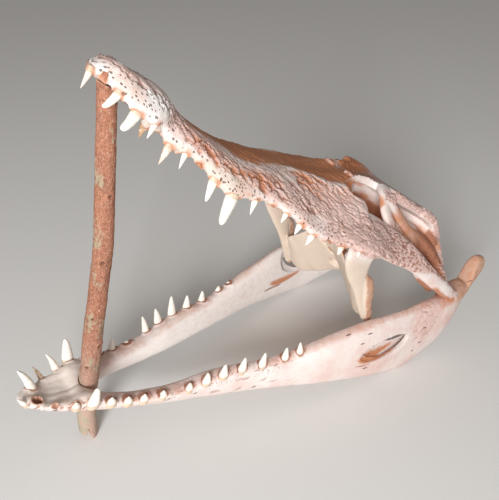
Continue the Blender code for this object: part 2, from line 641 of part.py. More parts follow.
def ectopterygoid(side):
    """Strap from the cheek down the front of the wing to its tip."""
    rows = np.asarray(ECTOPTERYGOID)
    rows = rows * (1, 1, PTERYGOID_DROP[side], 1, 1)
    top, bottom = np.asarray(ECTOPTERYGOID_WIDTH)
    strap = strut(rows, lambda part: top + (bottom - top) * min(1, 2.5 * part), steps=14)
    return strap if side > 0 else mirrored(strap)


def wing_edge(side):
    """Thick rough edge along the free end of the wing."""
    rows = np.asarray(WING_EDGE) * (1, 1, PTERYGOID_DROP[side], 1, 1)
    edge = strut(rows, lambda part: (0.69, 0, 0.72), sides=10, steps=12)
    return edge if side > 0 else mirrored(edge)


def orbit_space():
    """Orbit and the space under it, open through the roof and the palate."""
    rows = np.asarray(ORBIT_SPACE)
    zs = np.linspace(rows[0, 0], rows[-1, 0], 16)
    cx, cy, a, b = smooth(rows[:, 0], rows[:, 1:], zs).T[..., None]
    angle = np.linspace(0, 2 * np.pi, 20, endpoint=False)[None]
    x = cx + a * np.cos(angle)
    y = cy + b * np.sin(angle)
    return ring_solid(np.stack([x, y, zs[:, None] + 0 * x], axis=2))


def condyles(spare=0.0):
    """The rollers of the jaw joint on one side."""
    return [blob((x, y, z), (r + spare, 5.5 + spare, r + spare), 14, 8)
            for x, y, z, r in CONDYLE]


def cranium():
    """The whole cranium without teeth, in its own frame."""
    across = (lambda part: (0, 1, 0))
    upright = (lambda part: (0, 0, 1))
    fore_aft = (lambda part: (1, 0, 0))
    front, rear = np.asarray(QUADRATE_WIDTH)
    shell = fused([face(), roof(), braincase()] + both_sides([jugal()]))
    spaces = both_sides([orbit_space(), blob(TEMPORAL_WINDOW[:3], TEMPORAL_WINDOW[3:])])
    for space in spaces:
        shell = minus(shell, space)
    shell = minus(shell, blob(NARIS[:3], NARIS[3:]))
    sides = [
        strut(POSTORBITAL_BAR, fore_aft),
        strut(TEMPORAL_BAR, lambda part: (0, 0.5, -0.85)),
        strut(QUADRATE_KEEL, upright),
        strut(QUADRATE, lambda part: front + (rear - front) * part ** 2),
        strut(QUADRATE_ROOT, fore_aft),
        strut(SQUAMOSAL_HORN, across),
        strut(PAROCCIPITAL, upright),
        strut(PREFRONTAL_PILLAR, across),
    ]
    wings = [shape(side) for shape in (wing, ectopterygoid, wing_edge)
             for side in (-1, 1)]
    middle = [strut(PALATINE, across), strut(BASIOCCIPITAL, across),
              blob(OCCIPITAL_CONDYLE[:3], (OCCIPITAL_CONDYLE[3],) * 3)]
    whole = fused([shell] + both_sides(sides + condyles()) + middle + wings)
    whole = minus(whole, blob(FORAMEN_MAGNUM[:3], FORAMEN_MAGNUM[3:]))
    whole = minus(whole, blob(CHOANA[:3], CHOANA[3:]))
    return thinned(whole, CRANIUM_TRIANGLES)


def beside_arch_cut(side, away):
    """Everything beside the arch's slanted cut on one side, moved out by `away`."""
    front, rear, rear_x = ARCH_CUT
    slope = (rear - front) / (rear_x - ROSTRUM_END)
    corners = [(x, front + away + slope * (x - ROSTRUM_END)) for x in (200.0, 520.0)]
    corners += [(520.0, 220.0), (200.0, 220.0)]
    return ring_solid(np.array([[(x, side * y, z) for x, y in corners]
                                for z in (-160.0, 160.0)]))


def cranium_bones():
    """The cranium parted into its named bones, with the teeth joined on."""
    whole = cranium()
    half = GAP / 2
    snout = common(whole, box((-100, -300, -200), (PREMAXILLA_END - half, 300, 200)))
    rostrum = common(whole, box((PREMAXILLA_END + half, -300, -200),
                                (ROSTRUM_END - half, 300, 200)))
    rear = common(whole, box((ROSTRUM_END + half, -300, -200), (600, 300, 200)))
    end, reach, top = PTERYGOID_ZONE
    wings = common(rear, box((0, -reach, -200), (end - half, reach, top - half)))
    upper = minus(rear, box((0, -reach - half, -200), (end + half, reach + half, top + half)))
    bones = {"premaxilla": with_teeth(snout, upper_teeth(-99.0, PREMAXILLA_END)),
             "maxilla": with_teeth(rostrum, upper_teeth(PREMAXILLA_END, 500.0))}
    centre = upper
    for side, name in ((-1, "left"), (1, "right")):
        bones["cheek_arch_" + name] = common(upper, beside_arch_cut(side, half))
        centre = minus(centre, beside_arch_cut(side, -half))
        low, high = sorted((side * half, side * 300))
        bones["pterygoid_" + name] = common(wings, box((0, low, -200), (600, high, 200)))
    bones["braincase"] = centre
    return bones


def with_teeth(bone, teeth):
    for mesh in teeth:
        bone = plus(bone, mesh)
    return bone


def upper_teeth(first, last):
    """Upper teeth whose sockets lie between two stations."""
    result = []
    for side, names in UPPER_PRESENT.items():
        for name in names:
            x, y, z, length, radius, lean = UPPER_TEETH[name]
            if first < x < last:
                result.append(tooth(x, y, z, length, radius, lean, side, -1))
    return result


# ---------------------------------------------------------------- lower jaw

def jaw_body():
    """One half of the lower jaw as rings that bulge out and lean as the real one does."""
    rows = np.asarray(JAW)
    xs = np.r_[np.linspace(rows[0, 0], 88, 27), np.linspace(95, 456, 38), rows[-7:, 0]]
    columns = smooth(rows[:, 0], rows[:, 1:], xs).T[..., None]
    foot_in, foot_out, top_in, top_out, low, high = columns
    power = np.interp(xs, *np.array(JAW_POWER).T)[:, None]
    angle = np.linspace(0, 2 * np.pi, 24, endpoint=False)[None]
    c, s = np.cos(angle), np.sin(angle)
    u = np.sign(c) * np.abs(c) ** (2 / power)
    v = np.sign(s) * np.abs(s) ** (2 / power)
    up = (v + 1) / 2
    inner = foot_in + (top_in - foot_in) * up
    outer = foot_out + (top_out - foot_out) * up
    y = inner + (outer - inner) * (u + 1) / 2
    x = xs[:, None] + 0 * y
    basin_x, length, width, depth = BASIN
    hollow = depth * np.exp(-((x - basin_x) / length) ** 4 - (y / width) ** 4)
    z = low + (high - low) * up - hollow * np.clip(v, 0, 1)
    return ring_solid(np.stack([x, y, z], axis=2))


def jaw_half(side):
    """One half of the lower jaw with its teeth, in the jaw's own frame."""
    x, z, half_length, half_height, tilt = FENESTRA
    tilt = math.radians(tilt)
    window = strut(((x, 130, z, half_length, half_height), (x, 86, z, half_length, half_height)),
                   lambda part: (math.cos(tilt), 0, math.sin(tilt)),
                   sides=16, steps=2, power=2.0)
    x, z = GLENOID
    socket = strut(((x, 50, z, GLENOID_RADIUS, GLENOID_RADIUS),
                    (x, 110, z, GLENOID_RADIUS, GLENOID_RADIUS)),
                   lambda part: (1, 0, 0), sides=16, steps=2, power=2.0)
    body = jaw_body()
    for space in (blob(ADDUCTOR[:3], ADDUCTOR[3:]),
                  blob(ADDUCTOR_MOUTH[:3], ADDUCTOR_MOUTH[3:]), window, socket):
        body = minus(body, space)
    body = thinned(fused([body]), JAW_TRIANGLES)
    body = minus(body, box((-50, -60, -50), (600, GAP / 2, 200)))
    if side < 0:
        body = mirrored(body)
    for name, (x, y, z, length, radius, lean) in LOWER_TEETH.items():
        length, lean = LOWER_OWN[side].get(name, (length, lean))
        if length:
            body = plus(body, tooth(x, y, z, length, radius, lean, side, 1))
    return body


# ---------------------------------------------------------------- branch

def branch(spare=0.0):
    """Bark-covered branch: round, slightly bent, split at the foot."""
    rows = np.asarray(BRANCH)
    zs = np.linspace(rows[0, 2], rows[-1, 2], 20)
    x, y, _, radius = smooth(rows[:, 2], rows, zs).T[..., None]
    angle = np.linspace(0, 2 * np.pi, 10, endpoint=False)[None]
    knots = 1 + 0.04 * np.sin(3 * angle + zs[:, None] / 17) * np.cos(zs[:, None] / 23)
    radius = radius * knots + spare
    body = ring_solid(np.stack([x + radius * np.cos(angle), y + radius * np.sin(angle),
                                zs[:, None] + 0 * angle], axis=2))
    if spare:
        return body
    width, height = BRANCH_SPLIT
    x, y = BRANCH[0][0] - 1.0, BRANCH[0][1]
    outline = ((x + width, -20), (x, height), (x - width / 2, BRANCH_CHIP),
               (x - 30, BRANCH_CHIP + 2), (x - 30, -20))
    split = ring_solid(np.array([[(px, y + side, pz) for px, pz in outline]
                                 for side in (-30, 30)], float))
    return minus(body, split)


# ---------------------------------------------------------------- pose and assembly

def jaw_pose():
    pivot = Vector(JAW_PIVOT)
    return (Matrix.Translation((pivot.x, 0, 0))
            @ Matrix.Rotation(math.radians(JAW_TILT), 4, "Y") @ Matrix.Translation(-pivot))


def cranium_pose():
    turn = (Matrix.Rotation(math.radians(GAPE_TILT), 4, "Y")
            @ Matrix.Rotation(math.radians(CRANIUM_YAW), 4, "Z")
            @ Matrix.Rotation(math.radians(CRANIUM_ROLL), 4, "X"))
    return (Matrix.Translation(HINGE_IN_WORLD) @ turn
            @ Matrix.Translation(-Vector(HINGE_IN_CRANIUM)))


def posed(mesh, matrix):
    mesh.transform(matrix)
    return mesh


def material(name):
    colour, roughness = COLOURS[name]
    made = bpy.data.materials.new(name)
    made.use_nodes = True
    shader = made.node_tree.nodes["Principled BSDF"]
    shader.inputs["Base Color"].default_value = (*colour, 1)
    shader.inputs["Roughness"].default_value = roughness
    shader.inputs["Metallic"].default_value = 0.0
    return made


def place(name, mesh, finish):
    """One named object, in metres, shaded smooth with its edges kept."""
    mesh.transform(Matrix.Scale(MM, 4) @ Matrix.Translation(FRAME_SHIFT))
    mesh.shade_smooth()
    mesh.set_sharp_from_angle(angle=math.radians(50))
    mesh.materials.clear()
    mesh.materials.append(finish)
    thing = bpy.data.objects.new(name, mesh)
    bpy.context.scene.collection.objects.link(thing)


def main():
    for thing in list(bpy.data.objects):
        bpy.data.objects.remove(thing)
    finishes = {name: material(name) for name in COLOURS}
    above_floor = box((-100, -300, 0), (700, 300, 600))
    bones = {}
    for name, mesh in cranium_bones().items():
        bones[name] = posed(mesh, cranium_pose())
    for side, name in ((-1, "left"), (1, "right")):
        jaw = posed(jaw_half(side), jaw_pose())
        jaw = minus(jaw, branch(BRANCH_CLEARANCE))
        for roller in both_sides(condyles(JOINT_CLEARANCE)):
            jaw = minus(jaw, posed(roller, cranium_pose()))
        bones["lower_jaw_" + name] = common(jaw, above_floor)
    prop = common(branch(), above_floor)
    under_palate = box((-100, -150, -450), (400, 150, BRANCH_TOP))
    prop = common(prop, posed(under_palate, cranium_pose()))
    for name, mesh in bones.items():
        place(name, whole_parts(mesh), finishes["bone"])
    place("prop_branch", whole_parts(prop), finishes["bark"])


main()
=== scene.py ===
"""Crocodile skull propped open by a branch: the finished bones, teeth, bark and studio.

Each bone is drawn in its own frame, in millimetres: X runs from the snout tip to the back
of the head, Y is the side of the head (left is negative) and Z is up from the tooth row.
Profiles carried along paths are fused into one fine skin. That skin is then worked as
whole arrays: wrinkles, pits, sockets and cracks move its points, and the same formulas
are kept as attributes that colour it. Last, each bone is set in the specimen's pose.
"""

import functools
import itertools
import math

import bmesh
import bpy
import numpy as np
from bpy.props import FloatProperty, FloatVectorProperty, IntProperty, PointerProperty
from mathutils import Matrix, Vector


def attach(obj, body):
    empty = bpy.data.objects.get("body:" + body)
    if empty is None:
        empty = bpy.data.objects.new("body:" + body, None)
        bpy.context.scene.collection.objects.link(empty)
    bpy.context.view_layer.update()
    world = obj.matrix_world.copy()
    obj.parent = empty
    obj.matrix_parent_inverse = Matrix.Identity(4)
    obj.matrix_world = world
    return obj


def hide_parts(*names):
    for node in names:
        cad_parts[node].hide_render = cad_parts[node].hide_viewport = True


bl_info = {
    "name": "Propped crocodile skull",
    "version": (1, 0, 0),
    "blender": (4, 5, 0),
    "location": "View3D > Sidebar > Skull",
    "description": "Makes a weathered crocodile skull, its prop and a plain studio",
    "category": "Mesh",
}

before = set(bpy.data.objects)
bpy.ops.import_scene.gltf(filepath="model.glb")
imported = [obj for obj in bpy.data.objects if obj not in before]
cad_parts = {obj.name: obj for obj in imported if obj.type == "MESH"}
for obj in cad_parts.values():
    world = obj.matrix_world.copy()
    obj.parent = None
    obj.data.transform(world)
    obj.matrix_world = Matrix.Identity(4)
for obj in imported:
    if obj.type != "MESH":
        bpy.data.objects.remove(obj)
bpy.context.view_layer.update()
BODY = "root"
MM = 0.001

# ------------------------------------------------------------------ measured shapes, mm

HINGE_IN_CRANIUM = (438, 0, -5)
HINGE_IN_WORLD = (437.6, -1.1, 76.5)
JAW_PIVOT = (395, 0, 2)
FRAME_SHIFT = (-257.58, 0.9, 0)

# Snout and face: x, half width, tooth margin, top, palate, shoulder powers
FACE = (
    (0.5, 3, 20, 23.5, 20, 2.2, 2),
    (3, 7.5, 20, 26.8, 19.8, 2.3, 2),
    (6.5, 11.2, 21, 30.6, 19.5, 2.4, 2),
    (12, 16, 19, 34, 19, 2.4, 2),
    (19, 21, 15.5, 35.2, 18.8, 2.5, 2),
    (27, 25, 12.5, 35, 17.5, 2.5, 1.9),
    (36, 27.5, 10, 34.5, 16, 2.5, 1.9),
    (46, 28, 9.5, 33.5, 14.5, 2.5, 1.9),
    (54, 26, 10, 32, 13, 2.5, 1.9),
    (61, 22.5, 8.5, 29.5, 11, 2.5, 1.9),
    (66, 22, 2.5, 27, 9.5, 2.5, 1.9),
    (72, 24, -1.5, 24.5, 8.5, 2.5, 1.9),
    (84, 28, 0.5, 21.5, 7, 2.6, 1.9),
    (97, 33, -2, 20, 5.5, 2.6, 1.9),
    (111, 39.5, -8.5, 19, 4.5, 2.6, 1.9),
    (128, 44.8, -12.5, 18.3, 3.5, 2.6, 1.9),
    (146, 46.5, -8, 20.5, 3, 2.5, 1.8),
    (162, 49.5, -4, 23.2, 3, 2.3, 1.6),
    (178, 54.5, -4.5, 26, 3, 2.1, 1.4),
    (194, 59.5, -7.5, 30.5, 2.5, 1.9, 1.25),
    (212, 65.5, -11.5, 36, 2, 1.75, 1.12),
    (228, 71, -10, 40.5, 2, 1.7, 1.08),
    (242, 76.5, -8.5, 44, 2, 1.7, 1.06),
    (257, 82, -4, 48.5, 2, 1.7, 1.05),
    (268, 84, -1, 52, 4, 1.7, 1.05),
    (275, 81.5, 2.5, 46, 7, 1.7, 1.05),
    (281, 77, 6, 38, 11, 1.7, 1.05),
)
# Preorbital ridge: x, distance from the midline, height, and depth of the valley between
RIDGE = (
    (176, 20, 0, 0),
    (192, 21, 2.2, 2),
    (206, 23.5, 3.2, 4),
    (219, 28.5, 3.6, 5.2),
    (231, 32, 3.6, 6.2),
    (250, 35, 3, 6.8),
    (268, 36, 0, 7),
    (281, 36, 0, 7),
)
RIDGE_WIDTH = 5.5
VALLEY_WIDTH = 15
TOOTH_ROW = (3.6, 1.8, 3.2, 2.5)        # inset, its growth, width and its growth to the back
SHOULDER = 5                    # the snout is widest this far above the tooth margin

# Skull roof: x, half width, top, thickness, height of the raised orbital rims
ROOF = (
    (240, 18, 35.5, 6, 0),
    (252, 20, 39.5, 7, 2),
    (262, 21.5, 44.2, 8, 2.6),
    (271, 20, 49.8, 9, 6.5),
    (284, 19.5, 53.2, 9, 10),
    (295, 22, 55.5, 9.5, 10),
    (304, 28.5, 57, 10, 8),
    (312, 36, 58, 11, 6),
    (320, 42, 58.8, 12, 3.5),
    (336, 44.5, 59.2, 13, 1.5),
    (352, 46, 59.2, 13, 1),
    (370, 48.5, 58.8, 13, 0.8),
    (384, 50, 58, 13, 1),
)
# Swelling of the right orbit's rim: x, length, height, and y where it starts and is full
HUMP = (330, 24, 5.5, 8, 26)
# Braincase: x, half width, bottom, top
BRAINCASE = (
    (300, 6, 26, 49),
    (314, 9, 8, 52),
    (332, 14, -14, 54),
    (348, 17, -25, 54),
    (362, 19, -22, 54),
    (376, 21, -4, 52),
    (385, 19, 10, 50),
)
# Struts: (x, y, z, half width, half thickness) along the path
JUGAL = (
    (242, 57.5, 8, 18, 4.5),
    (262, 64, 12.5, 23.5, 5.5),
    (280, 67, 14.5, 23.5, 5.5),
    (300, 70.5, 13.5, 20.5, 5),
    (318, 75, 12.5, 16, 5),
    (338, 80, 10.5, 12, 5),
    (365, 84.5, 6, 9.5, 4.5),
    (395, 88.5, 0.5, 8.5, 4.5),
    (418, 90, -3, 8, 5),
    (436, 89, -4.5, 6, 5.5),
)
JUGAL_LEAN = ((242, 0.90), (262, 0.86), (280, 0.84), (300, 0.78),
              (318, 0.60), (338, 0.35), (365, 0.22), (436, 0.15))
POSTORBITAL_BAR = (
    (314, 30, 51, 12, 5.5),
    (308, 37.5, 47, 10, 5),
    (307, 44, 39, 8, 4),
    (313, 52, 30, 8, 4),
    (320, 64, 19, 12, 4.5),
)
TEMPORAL_BAR = (
    (308, 40, 49, 8, 4.5),
    (320, 46.5, 41, 6, 3.2),
    (341, 52, 33, 5.5, 3),
    (368, 56, 26, 6.5, 3.5),
    (396, 60, 18.5, 8, 4),
    (416, 66, 9, 9, 5),
)
QUADRATE = (
    (344, 20, 28, 22, 10),
    (368, 34, 29, 22, 9.5),
    (390, 50, 25, 19, 8.5),
    (410, 63, 14.5, 16, 7),
    (426, 72, 3, 15.5, 6),
    (437, 77, -4, 15, 5.5),
)
QUADRATE_WIDTH = ((0.75, -0.66, 0), (0.30, -0.95, 0))   # its width at each end
QUADRATE_ROOT = (
    (374, 37, 20, 14, 5),
    (370, 31, 0, 13, 5),
    (360, 18, -18, 12, 5),
    (354, 8, -27, 12, 5),
)
QUADRATE_KEEL = (
    (374, 62, 12, 8, 5),
    (392, 68, 1, 9, 5),
    (412, 69, -4, 8.5, 5.5),
    (432, 65, -8, 8, 7),
)
CONDYLE_HALF_WIDTH = 5.5
# Rollers of the jaw joint: centre and radius
CONDYLE = ((438.5, 62, -9.5, 8.2), (438.5, 70, -5.5, 6), (438.5, 80, -4.5, 6),
           (438.5, 90, -5.5, 7))
SQUAMOSAL_HORN = (
    (366, 42, 53, 9, 6),
    (383, 46, 51.5, 8, 6),
    (395, 51, 44.5, 6, 5.5),
    (404, 55.5, 35, 5, 4.5),
    (415, 60, 25, 4.5, 4.5),
    (426, 66, 14, 4, 4),
)
PAROCCIPITAL = (
    (376, 12, 36, 12, 6),
    (384, 32, 37, 11, 5),
    (392, 50, 36, 9, 4.5),
    (396, 60, 28, 6, 4),
)
BASIOCCIPITAL = (
    (385, 0, 18, 13, 7.5),
    (383, 0, 2, 20, 9),
    (380, 0, -12, 21, 9),
    (377, 0, -24, 16, 7),
)
OCCIPITAL_CONDYLE = (391, 0, 21, 8.5, 8.5, 8.5)     # centre and half sizes
PALATINE = (
    (190, 0, 3, 16, 5),
    (220, 0, 2, 14, 6),
    (250, 0, 1, 12, 6.5),
    (278, 0, -2, 12, 6.5),
    (298, 0, -7, 14, 6),
    (316, 0, -15, 18, 5.5),
    (332, 0, -24, 18, 5),
)
PREFRONTAL_PILLAR = (
    (270, 14, 50, 6, 3.6),
    (268, 12, 28, 3.6, 2.6),
    (268, 9, 3, 5, 3.2),
)
# Pterygoid wing: path from the midline out, half width along the slope, half thickness
PTERYGOID = (
    (337, 3, -26.5, 34, 4),
    (341, 18, -36, 31, 2.9),
    (344.5, 36, -48.5, 28.5, 2.6),
    (346, 50, -55.5, 25, 2.8),
    (349, 61.5, -56, 20, 3.6),
)
PTERYGOID_SLOPE = (0.53, 0.62)      # drop towards the back, at the middle and the edge
PTERYGOID_DROP = {-1: 1, 1: 1.08}   # the right wing hangs a little lower
ECTOPTERYGOID = (
    (276, 70, 10, 20, 5.5),
    (284, 66, -6, 19, 4.6),
    (301, 61, -24, 13, 4),
    (318, 60, -37.5, 8, 3.6),
    (333, 60, -49.5, 5.5, 3.4),
    (348, 61, -61, 4.2, 3.2),
    (358, 62, -68.5, 3, 3),
)
ECTOPTERYGOID_WIDTH = ((0.90, 0.15, 0.42), (0.69, 0.10, 0.72))   # its width at each end
# Rough free edge of the wing
WING_EDGE = (
    (316, 61, -26, 3, 3),
    (328, 62.5, -33.5, 6.5, 3.6),
    (338, 63, -43.5, 6.3, 3.8),
    (346, 63.3, -52.5, 5, 3.6),
    (356, 63.5, -61.5, 5.3, 3.6),
    (364, 63.5, -70, 3, 3),
)

# Openings: centre and half sizes
NARIS = (29, 0, 34, 13, 11, 9)
TEMPORAL_WINDOW = (351, 25.5, 52, 12, 9.5, 26)
FORAMEN_MAGNUM = (392, 0, 35, 16, 8, 6)
CHOANA = (352, 0, -41, 8, 7, 6)
# Space under the orbit: z, x centre, y centre, half length, half width
ORBIT_SPACE = (
    (-34, 256, 33, 43, 16),
    (-6, 256, 33, 43, 17),
    (4, 262, 35, 45, 20),
    (14, 270, 37, 44, 21),
    (24, 277, 34, 38, 17),
    (34, 282, 33, 30, 13),
    (48, 285, 34, 30, 15),
    (80, 286, 35, 31, 16),
)

# Lower jaw half at +Y: x, inner and outer y of the foot, of the top, bottom, top
JAW = (
    (-1, -6, 4, -6, 7, 27, 31.5),
    (3, -6, 6, -6, 11.5, 23.5, 33),
    (9, -8, 8, -8, 16, 20, 33.5),
    (16, -10, 10, -10, 20.5, 16.5, 32.5),
    (26, -10, 12.5, -10, 26, 13.5, 31.5),
    (39, -10, 16, -10, 31.5, 11, 31),
    (49, -8, 19, -8, 37, 10, 34),
    (53.5, -1, 20, 0, 38, 9.6, 33.5),
    (59, 6.5, 21.5, 7.5, 38.3, 9.3, 31.5),
    (66, 11, 23.5, 12.5, 38.5, 9, 28.5),
    (76, 13.8, 26, 16, 39.5, 8.5, 26),
    (92, 18.5, 30, 21.5, 42.5, 7.5, 24.5),
    (113, 23, 35, 26, 46.5, 6, 24.5),
    (137, 28, 41, 30, 51, 5, 27.5),
    (153, 31.5, 45, 33, 54.5, 4.3, 32.5),
    (170, 36, 49.5, 37, 57, 4, 36),
    (190, 41, 54.5, 42, 60.5, 3.8, 38),
    (210, 46.5, 59.5, 46.5, 64.5, 3.4, 38.5),
    (231, 52, 66, 51.5, 69.5, 3, 42.5),
    (248, 56.5, 71.5, 55.5, 73.5, 2.6, 47.5),
    (270, 62.5, 78.5, 60, 78.5, 1.5, 54.5),
    (295, 67.5, 85, 65, 83, 0.5, 61.5),
    (320, 72, 90, 70, 88, -0.8, 68),
    (345, 76, 93, 74.5, 91, -2.2, 72),
    (370, 79, 95, 77.5, 92.5, -2.8, 74),
    (381, 79, 95.5, 77.5, 93, -0.8, 75.5),
    (392, 78, 96, 77, 94, 3.5, 76.5),
    (408, 76.5, 96, 76, 94.5, 9.5, 77),
    (422, 72, 96, 72, 95, 17, 77),
    (436, 67, 94, 66, 94, 27.5, 78.5),
    (447, 65.5, 91, 65, 91, 40, 81.5),
    (458, 66, 87, 65.5, 87, 52, 82),
    (465, 66.3, 85, 65.8, 85, 59, 80),
    (469.5, 66.5, 84, 66, 84, 63, 92),
    (473, 66.5, 83, 66, 83, 66.5, 103.5),
    (479, 67, 82, 67, 82, 72.5, 108.5),
    (488, 67.5, 80, 67.5, 80, 81, 107),
    (493, 68.5, 78.5, 68.5, 78.5, 85.5, 103.5),
    (495.2, 70, 77, 70, 77, 90, 99.5),
)
JAW_POWER = ((0, 2), (60, 2.2), (110, 2.7))   # squareness of the section by x
BASIN = (34, 24, 16, 5)         # hollow over the chin: x, length, width, depth
GLENOID = (426, 84)             # axis of the jaw joint: x and z
GLENOID_RADIUS = 7.6
FENESTRA = (341.5, 36, 30, 11.5, 13)            # x, z, half length, half height, tilt
ADDUCTOR = (352, 84.5, 42, 44, 3.8, 21)         # hollow inside the rear of the jaw
ADDUCTOR_MOUTH = (367, 74, 55, 44, 10.5, 27)    # where it opens to the inside

# Teeth: x, y, z of the socket, length, radius, lean of the tip to the back, bluntness
UPPER_TEETH = {
    "pm1": (1.5, 4.4, 20, 12, 2.4, -0.05, 0.10),
    "pm2": (8, 11.5, 19.5, 7, 2.1, -0.10, 0.10),
    "pm3": (18.6, 17.4, 17, 11.8, 3.2, -0.42, 0.68),
    "pm4": (33.8, 22.6, 11.5, 13.8, 4.2, -0.28, 0.62),
    "pm5": (49.3, 23.5, 11.5, 11.8, 2.5, 0.00, 0.12),
    "m1": (71.5, 19.4, 0, 14.2, 3.3, -0.05, 0.10),
    "m2": (84, 23.3, 2.5, 13.2, 2.6, 0.12, 0.10),
    "m3": (96, 28.3, 0, 7, 2.5, 0.05, 0.10),
    "m4": (110.4, 34.6, -6.5, 16.2, 3.8, 0.20, 0.34),
    "m5": (129.4, 40.1, -10.5, 23, 5.6, 0.18, 0.50),
    "m6": (150.5, 42.4, -5, 12.6, 3, 0.27, 0.12),
    "m7": (166, 46, -2.5, 5, 2.4, 0.05, 0.10),
    "m8": (181.5, 50.1, -3.5, 9, 2.7, 0.00, 0.14),
    "m9": (197.8, 55.2, -6.5, 9.8, 3.2, 0.00, 0.10),
    "m10": (212.6, 60, -10, 10, 3.5, 0.00, 0.14),
    "m11": (227.5, 65.7, -9.5, 6, 3, 0.05, 0.10),
    "m12": (241.4, 71.4, -7.5, 7, 3, 0.26, 0.30),
    "m13": (257.2, 78.4, -3, 5.5, 2.5, 0.45, 0.30),
}
UPPER_LOST = {-1: ("pm2", "m3", "m7", "m11"),
              1: ("pm1", "pm2", "pm3", "pm4", "pm5", "m2", "m3", "m4", "m5", "m6", "m8",
                  "m12")}
LOWER_TEETH = {
    "d1": (12.6, 8.6, 31.5, 21.6, 4.2, -0.44, 0.50),
    "d2": (23.7, 19.8, 29.5, 15.2, 2.4, -0.46, 0.10),
    "d3": (39.3, 26.9, 29, 18.6, 3.7, -0.42, 0.24),
    "d4": (52.1, 32.6, 32, 22, 5.2, -0.04, 0.40),
    "d5": (68.2, 32.6, 26.5, 5.6, 4.6, 0.15, 0.05),
    "d6": (82.6, 34.9, 23.5, 5.6, 4.6, 0.15, 0.05),
    "d7": (96.7, 37.2, 22.5, 5.6, 4.6, 0.15, 0.05),
    "d8": (113.6, 40.3, 22.5, 5.6, 4.6, 0.15, 0.05),
    "d9": (137.1, 46.3, 26, 6, 3.8, 0.1, 0.3),
    "d10": (152.5, 50, 31, 10.2, 4.4, 0.1, 0.26),
    "d11": (169.1, 52.2, 34.5, 12.6, 4.6, 0.05, 0.24),
    "d12": (187.6, 54.5, 36, 13.8, 4.5, 0.17, 0.22),
    "d13": (208, 58, 36.5, 14.4, 4.3, 0.14, 0.22),
    "d14": (231.2, 62.8, 40.5, 12.8, 4.1, 0, 0.26),
    "d15": (246.1, 66, 44.5, 13.6, 3.9, -0.15, 0.22),
}
TOOTH_ROOT = 4                  # length inside the socket
TOOTH_SPLAY = 0.1               # outward lean
TOOTH_OVAL = 0.88               # width across the jaw over length along it
SHARD = (2.5, 7.5, 30.5, 7.5, 2.6, -0.75, 0.35)     # broken left tooth at the tip of the jaw
# Where one side differs: length and lean, and 0 for an empty socket
LOWER_OWN = {
    -1: {"d1": (0, 0), "d2": (0, 0), "d3": (4, 0), "d4": (15.5, 0.27)},
    1: {"d5": (0, 0), "d6": (0, 0), "d7": (15.5, 0), "d8": (4, 0),
        "d9": (19.8, -0.21), "d10": (17.5, -0.20), "d11": (23, -0.08),
        "d12": (16, 0), "d13": (13.5, 0), "d14": (7, 0), "d15": (4, 0)},
}
UPPER_OWN = {1: {"m1": (9.5, 0.1)}}
# Browned teeth: side and station, and how brown
BROWN = {(1, 71.5): 1, (-1, 71.5): 0.5, (1, 23.7): 1, (-1, 1.5): 0.35}

# Branch: world x, y, z before the shift, and radius, from the foot to the palate
BRANCH = (
    (59, 8.5, -6, 8.6),
    (61, 7, 30, 8.8),
    (65.6, 4, 60, 9),
    (69.1, 2.2, 78, 9),
    (75, -1.6, 110, 8.8),
    (80.2, -5.4, 140, 8.5),
    (88.4, -10.2, 180, 8.2),
    (94.8, -14.5, 215, 8),
    (104, -23, 290, 7.4),
    (108.8, -27.5, 330, 7),
    (112, -31, 365, 6.8),
)
BRANCH_SPLIT = (4, 22)          # half width and height of the split in the foot
BRANCH_CHIP = 7.5               # the front lobe of the foot ends this far above the floor
BRANCH_TOP = 17.6               # just under the palate, in the cranium's frame
PROP_GAP = 0.6                  # least distance from the bones to the branch
MIDLINE_GAP = 0.15              # half the gap between the two halves of the lower jaw
SHELL_VOXEL = 1.7               # squares of the snout and roof before the openings are cut

# Cuts between the named bones, in the cranium's frame
PREMAXILLA_END = 61
ROSTRUM_END = 259
ARCH_CUT = (39, 56, 440)        # y at the rostrum's end, y further back, x there
PTERYGOID_ZONE = (372, 76, -10)     # rear x, greatest y and top z


# ------------------------------------------------------------------ settings

def turned(name, degrees, description):
    """A setting that is an angle."""
    return FloatProperty(name=name, default=math.radians(degrees), subtype="ANGLE",
                         description=description)


def tint(name, colour, description):
    """A setting that is a colour."""
    return FloatVectorProperty(name=name, default=colour, subtype="COLOR",
                               description=description)


def spot(name, place, description):
    """A setting that is a place."""
    return FloatVectorProperty(name=name, default=place, subtype="TRANSLATION", unit="LENGTH",
                               description=description)


def relief(name, size, smallest, description):
    """A setting that is a small size in millimetres."""
    return FloatProperty(name=name, default=size, min=smallest,
                         description=description + ", in millimetres")


class SkullPose(bpy.types.PropertyGroup):
    """How the bones are set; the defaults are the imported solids' own pose."""
    jaw_tilt: turned("Jaw tilt", 8.3, "How far the front of the lower jaw is raised")
    gape: turned("Gape", 36.0, "How far the cranium is tipped back from level")
    yaw: turned("Cranium yaw", 3.0, "Turn of the cranium about its own upright axis")
    roll: turned("Cranium roll", 2.2, "Lean of the cranium to its side")


